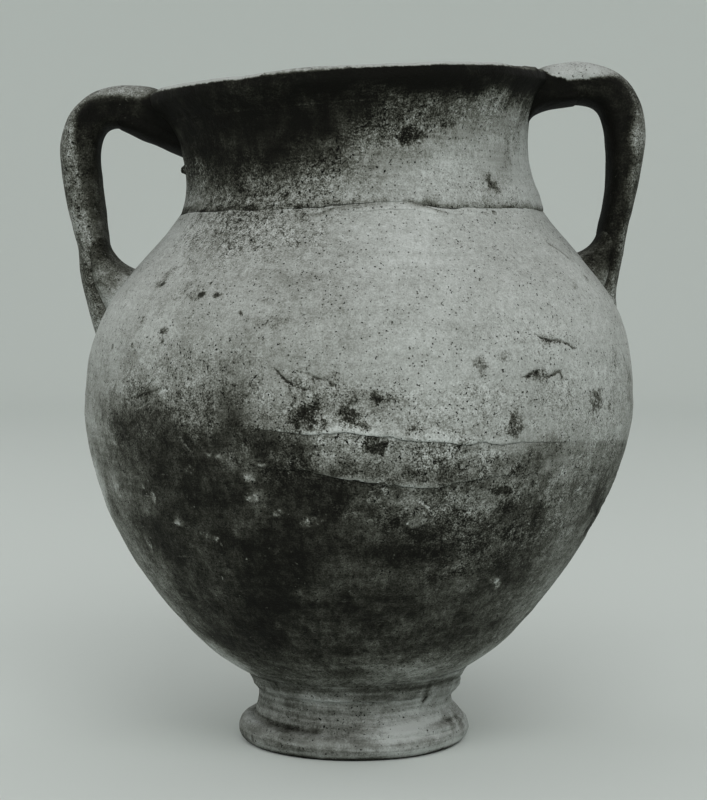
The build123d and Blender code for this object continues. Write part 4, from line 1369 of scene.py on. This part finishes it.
# How dark each strap is where it isn't worn, from the rim to the shoulder, by side: staining, deepened toward
# the rim with painted shadow
STRAP_STAIN_AND_SHADOW = {
    -1: (
        (0.0, 1.14), (0.08, 1.10), (0.16, 1.0), (0.4, 0.80), (0.52, 0.64), (0.64, 0.62), (0.8, 0.72),
        (1.0, 0.40),
    ),
    1: ((0.0, 1.04), (0.3, 1.0), (0.45, 0.90), (0.8, 0.86), (1.0, 0.46)),
}

# How far round from its outer side each strap is bared: 1 only the outer side
STRAP_BARE = {
    -1: (
        (0.0, 0.9), (0.06, 0.75), (0.10, 0.45), (0.15, 0.35), (0.19, 0.45), (0.25, 0.60), (0.34, 0.2),
        (0.45, -0.1), (0.7, -0.2), (0.85, -0.1), (1.0, -0.4),
    ),
    1: (
        (0.0, 0.9), (0.06, 0.55), (0.10, 0.28), (0.17, 0.10), (0.23, 0.25), (0.3, 0.70), (0.40, 0.1),
        (0.55, 0.1), (0.75, 0.2), (1.0, 0.0),
    ),
}

# How sharp the edge of the bared part is: the right strap is broken at the top
STRAP_CRISP = {
    -1: ((0.0, 0.4), (0.2, 0.2), (0.4, 0.0), (1.0, 0.0)),
    1: ((0.0, 1.0), (0.17, 1.0), (0.26, 0.4), (0.34, 0.0), (1.0, 0.0)),
}

# How worn each strap is
STRAP_WEAR = {
    -1: (
        (0.0, 0.4), (0.08, 1.2), (0.14, 1.4), (0.22, 1.1), (0.42, 0.8), (0.5, 0.36), (0.56, 0.3), (0.64, 0.5),
        (0.76, 0.3), (1.0, 0.3),
    ),
    1: ((0.0, 0.8), (0.08, 1.7), (0.2, 1.7), (0.32, 0.7), (0.45, 1.0), (0.6, 0.6), (0.75, 0.6), (1.0, 0.5)),
}


def plane_point(pixel):
    """The point of the handles' plane that a pixel of the photograph shows."""
    across = (pixel[0] - PHOTO_AXIS) / FOCAL_PIXELS
    up = (PHOTO_SIZE[1] / 2 - pixel[1]) / FOCAL_PIXELS
    forward = math.cos(PITCH) + up * math.sin(PITCH)
    rise = -math.sin(PITCH) + up * math.cos(PITCH)
    return (across * CAMERA_DISTANCE / forward, CAMERA_HEIGHT + rise * CAMERA_DISTANCE / forward)


def strap_skin(side, outer_pixels, inner_pixels, lead, half_width, squareness):
    """A skin round a strap of clay, and how far each of its columns lies outward and to the front or back.

    Its stations are evenly spaced on a line between the two outlines: the inner one if lead is 0.
    """
    outer_knots, inner_knots = (
        np.array([plane_point(pixel) for pixel in pixels]) for pixels in (outer_pixels, inner_pixels)
    )
    places = even_places(lead * outer_knots + (1.0 - lead) * inner_knots, len(half_width))
    outer = spline(outer_knots, places)
    inner = spline(inner_knots, places)
    middle = (outer + inner) / 2
    half_depth = (outer - inner) / 2
    turn = np.linspace(0.0, 2 * math.pi, STRAP_COLUMNS, endpoint=False)[::side]
    across = np.sign(np.cos(turn)) * np.abs(np.cos(turn)) ** (2 / squareness)
    front = np.sign(np.sin(turn)) * np.abs(np.sin(turn)) ** (2 / squareness)
    x = middle[:, :1] + half_depth[:, :1] * across
    z = middle[:, 1:] + half_depth[:, 1:] * across
    return np.stack([x, -half_width[:, None] * front, z], axis=-1), across, np.abs(front)


def strap(node, pairs, side):
    """A strap handle, worn pale along its outer side."""
    share = np.linspace(0.0, 1.0, STRAP_STATIONS)
    width = STRAP_HALF_WIDTH + STRAP_RIM_SPREAD * smooth(0.28, 0.0, share)
    width = width + STRAP_SHOULDER_SPREAD * smooth(0.72, 1.0, share)
    points, across, flank = strap_skin(side, *zip(*pairs), 0.5, width, STRAP_SQUARENESS)
    ridge = 0.9 * bump(across, 0.30, 0.16) - 0.7 * bump(across, -0.15, 0.25)
    push = layers(points, STRAP_UNEVEN) + ridge * smooth(0.3, 0.8, flank) - 0.6 * scars(points, 11)
    points = pushed(points, push, capped=True)
    unworn, bared, crisp, worn = (
        along(share, knots[side])[:, None] for knots in (STRAP_STAIN_AND_SHADOW, STRAP_BARE, STRAP_CRISP, STRAP_WEAR)
    )
    ragged = across + (0.14 - 0.05 * crisp) * noise(points, 18.0, 144)
    ragged = ragged + 0.05 * crisp * noise(points, 5.0, 146)
    outward = smooth(bared - 0.16 * (1.0 - crisp), bared + 0.30 - 0.24 * crisp, ragged)
    stain_and_shade = unworn + 0.08 * clouds(points, 26.0, 145) + 0.05 * noise(points, 9.0, 147) - 0.52 * outward * worn
    wear = 0.5 * outward * worn * (0.6 + 0.4 * noise(points, 14.0, 148))
    speck = 0.5 + 0.5 * outward + 0.2 * noise(points, 20.0, 149) - 0.3 * smooth(0.24, 0.08, share[:, None])
    make_piece(node, "handle_clay", points, painted(points, stain_and_shade, wear=wear, speck=speck), capped=True)


strap("left_handle", LEFT_STRAP, -1)
strap("right_handle", RIGHT_STRAP, 1)


# Wads: clay pressed under both ends of each strap

# Outlines of each wad as the photograph shows them, an outer and an inner pixel at each station, by side
UPPER_WADS = {
    -1: (
        ((181, 122), (191, 160)), ((166, 118), (166, 150)), ((146, 112), (140, 139)),
        ((126, 112), (120, 130)),
    ),
    1: (((528, 97), (521, 138)), ((541, 91), (531, 118)), ((556, 88), (548, 109.5)), ((574, 88), (574, 106))),
}
LOWER_WADS = {
    -1: (((85, 226), (106, 226)), ((89, 256), (113, 252)), ((95, 288), (131, 268)), ((112, 328), (164, 276))),
    1: (
        ((620, 220), (601, 222)), ((616, 248), (594.5, 239)), ((610, 276), (580, 251)),
        ((598, 310), (545, 262)),
    ),
}
WAD_SQUARENESS = 2.5
WAD_UNEVEN = ((0.7, 30.0, 151), (0.5, 13.0, 152))

# Half the width of each wad from front to back, how much wider it is at its joint, and how dark it is: the
# upper wads with staining and painted shadow under the strap's top end
UPPER_WAD_WIDTH = 29.5
UPPER_WAD_SPREAD = 3.0
LOWER_WAD_WIDTH = 24.5
LOWER_WAD_SPREAD = 17.0
UPPER_WAD_STAIN_AND_SHADOW = 1.14
LOWER_WAD_STAIN = {-1: 0.68, 1: 0.80}


def wad(node, side, pairs, width, level, speck, share, merging):
    """A cradle of clay under one end of a strap, which takes on the body's staining and painted shade where
    it merges.
    """
    points, _, flank = strap_skin(side, *zip(*pairs), 0.0, width, WAD_SQUARENESS)
    points = pushed(points, layers(points, WAD_UNEVEN) - 0.6 * scars(points, 13), capped=True)
    stain_and_shade = level + 0.10 * clouds(points, 24.0, 153) + 0.06 * noise(points, 8.0, 155)
    if merging:
        reach = share[:, None] + 0.14 * smooth(0.6, 1.0, flank) + 0.2 * noise(points, 14.0, 156)
        merged = smooth(0.62, 1.02, reach)
        stain_and_shade = stain_and_shade * (1.0 - merged) + body_stain_and_shade(points) * merged
    make_piece(node, "handle_clay", points, painted(points, stain_and_shade, speck=speck), capped=True)


for name, side in (("left", -1), ("right", 1)):
    share = np.linspace(0.0, 1.0, WAD_STATIONS)
    upper_width = UPPER_WAD_WIDTH + UPPER_WAD_SPREAD * (1.0 - share) ** 2
    # The upper wads are painted dark: staining, and painted shadow under the strap's top end
    wad(name + "_handle_upper_wad", side, UPPER_WADS[side], upper_width, UPPER_WAD_STAIN_AND_SHADOW, 0.3, share, False)
    lower_width = LOWER_WAD_WIDTH + LOWER_WAD_SPREAD * smooth(0.0, 1.0, share)
    lower_level = (LOWER_WAD_STAIN[side] - 0.30 * smooth(0.1, 0.8, share))[:, None]
    wad(name + "_handle_lower_wad", side, LOWER_WADS[side], lower_width, lower_level, 0.6, share, True)


# Studio: a round pale floor that sweeps up into a wall, soft lamps and the sky, in metres

STAGE_COLOUR = (0.69, 0.735, 0.705, 1.0)
STAGE_RADIUS = 3.6
STAGE_SWEEP = 1.4
STAGE_TOP = 2.8
STAGE_HUB = 0.2
STAGE_FLOOR_ROWS = 18
STAGE_SWEEP_ROWS = 24
STAGE_COLUMNS = 128
STAGE_GLOW = 0.115
STAGE_GLOW_SHIFT = (0.0, -0.4, 0.0)
STAGE_GLOW_REACH = (1.0, 3.8)
SKY_STRENGTH = 0.42
SENSOR_WIDTH = 36.0

# Lamps: name, place, target, size, power
LAMPS = (
    ("key", (0.5, -2.4, 2.3), (0.0, 0.0, 0.3), 2.0, 38.0),
    ("fill", (-1.9, -2.2, 1.5), (0.0, 0.0, 0.25), 2.0, 15.0),
    ("left_back", (-2.3, 1.5, 1.7), (0.0, 0.0, 0.25), 1.6, 14.0),
    ("right_back", (2.3, 1.5, 1.7), (0.0, 0.0, 0.25), 1.6, 12.0),
)


def stage():
    """The floor and the wall round it, one smooth bowl that shows evenly pale."""
    line = [(reach, 0.0) for reach in np.linspace(STAGE_HUB, STAGE_RADIUS, STAGE_FLOOR_ROWS)[:-1]]
    for turn in np.linspace(0.0, math.pi / 2, STAGE_SWEEP_ROWS):
        line.append((STAGE_RADIUS + STAGE_SWEEP * math.sin(turn), STAGE_SWEEP - STAGE_SWEEP * math.cos(turn)))
    line.append((STAGE_RADIUS + STAGE_SWEEP, STAGE_TOP))
    columns = np.linspace(0.0, 2 * math.pi, STAGE_COLUMNS, endpoint=False)
    vertices = [(reach * math.cos(t), reach * math.sin(t), z) for reach, z in line for t in columns]
    index = np.arange(len(vertices)).reshape(len(line), STAGE_COLUMNS)
    beside = np.roll(index, -1, axis=1)
    faces = np.stack([index[:-1], index[1:], beside[1:], beside[:-1]], axis=-1).reshape(-1, 4).tolist()
    faces.append(index[0].tolist())
    mesh = bpy.data.meshes.new("stage")
    mesh.from_pydata(vertices, [], faces)
    mesh.polygons.foreach_set("use_smooth", [True] * len(faces))
    material = bpy.data.materials.new("stage_paper")
    material.use_nodes = True
    tree = material.node_tree
    shader = tree.nodes["Principled BSDF"]
    shader.inputs["Base Color"].default_value = STAGE_COLOUR
    shader.inputs["Roughness"].default_value = 0.95
    shader.inputs["Specular IOR Level"].default_value = 0.1
    shader.inputs["Emission Color"].default_value = STAGE_COLOUR
    place = put(tree, "ShaderNodeTexCoord", output=OBJECT_SPACE)
    shifted = put(tree, "ShaderNodeVectorMath", {0: place, 1: STAGE_GLOW_SHIFT}, operation="ADD")
    away = put(tree, "ShaderNodeVectorMath", {0: shifted}, output=VECTOR_LENGTH, operation="LENGTH")
    camera_ray = put(tree, "ShaderNodeLightPath")
    glow = camera_ray * away.step(*STAGE_GLOW_REACH, 0.0, STAGE_GLOW)
    tree.links.new(glow.socket, shader.inputs["Emission Strength"])
    mesh.materials.append(material)
    sheet = bpy.data.objects.new("stage", mesh)
    bpy.context.scene.collection.objects.link(sheet)


def lamp(name, place, target, size, power):
    """A square soft lamp that shines at a target."""
    light = bpy.data.lights.new(name, "AREA")
    light.shape = "SQUARE"
    light.size = size
    light.energy = power
    item = bpy.data.objects.new(name, light)
    bpy.context.scene.collection.objects.link(item)
    item.location = place
    item.rotation_euler = (Vector(target) - Vector(place)).to_track_quat("-Z", "Y").to_euler()


stage()
for lamp_facts in LAMPS:
    lamp(*lamp_facts)
world = bpy.data.worlds.new("studio")
bpy.context.scene.world = world
world.use_nodes = True
sky = world.node_tree.nodes["Background"]
sky.inputs["Color"].default_value = (1.0, 1.0, 1.0, 1.0)
sky.inputs["Strength"].default_value = SKY_STRENGTH

# Camera, where the photograph was taken from
camera_data = bpy.data.cameras.new("camera")
camera_data.sensor_width = SENSOR_WIDTH
camera_data.lens = SENSOR_WIDTH * FOCAL_PIXELS / PHOTO_SIZE[1]
camera = bpy.data.objects.new("camera", camera_data)
bpy.context.scene.collection.objects.link(camera)
camera_side = (PHOTO_SIZE[0] / 2 - PHOTO_AXIS) * PHOTO_MM
camera.location = (camera_side * MM, -CAMERA_DISTANCE * MM, CAMERA_HEIGHT * MM)
camera.rotation_euler = (math.pi / 2 - PITCH, 0.0, 0.0)
bpy.context.scene.camera = camera
bpy.context.scene.view_settings.view_transform = "Standard"
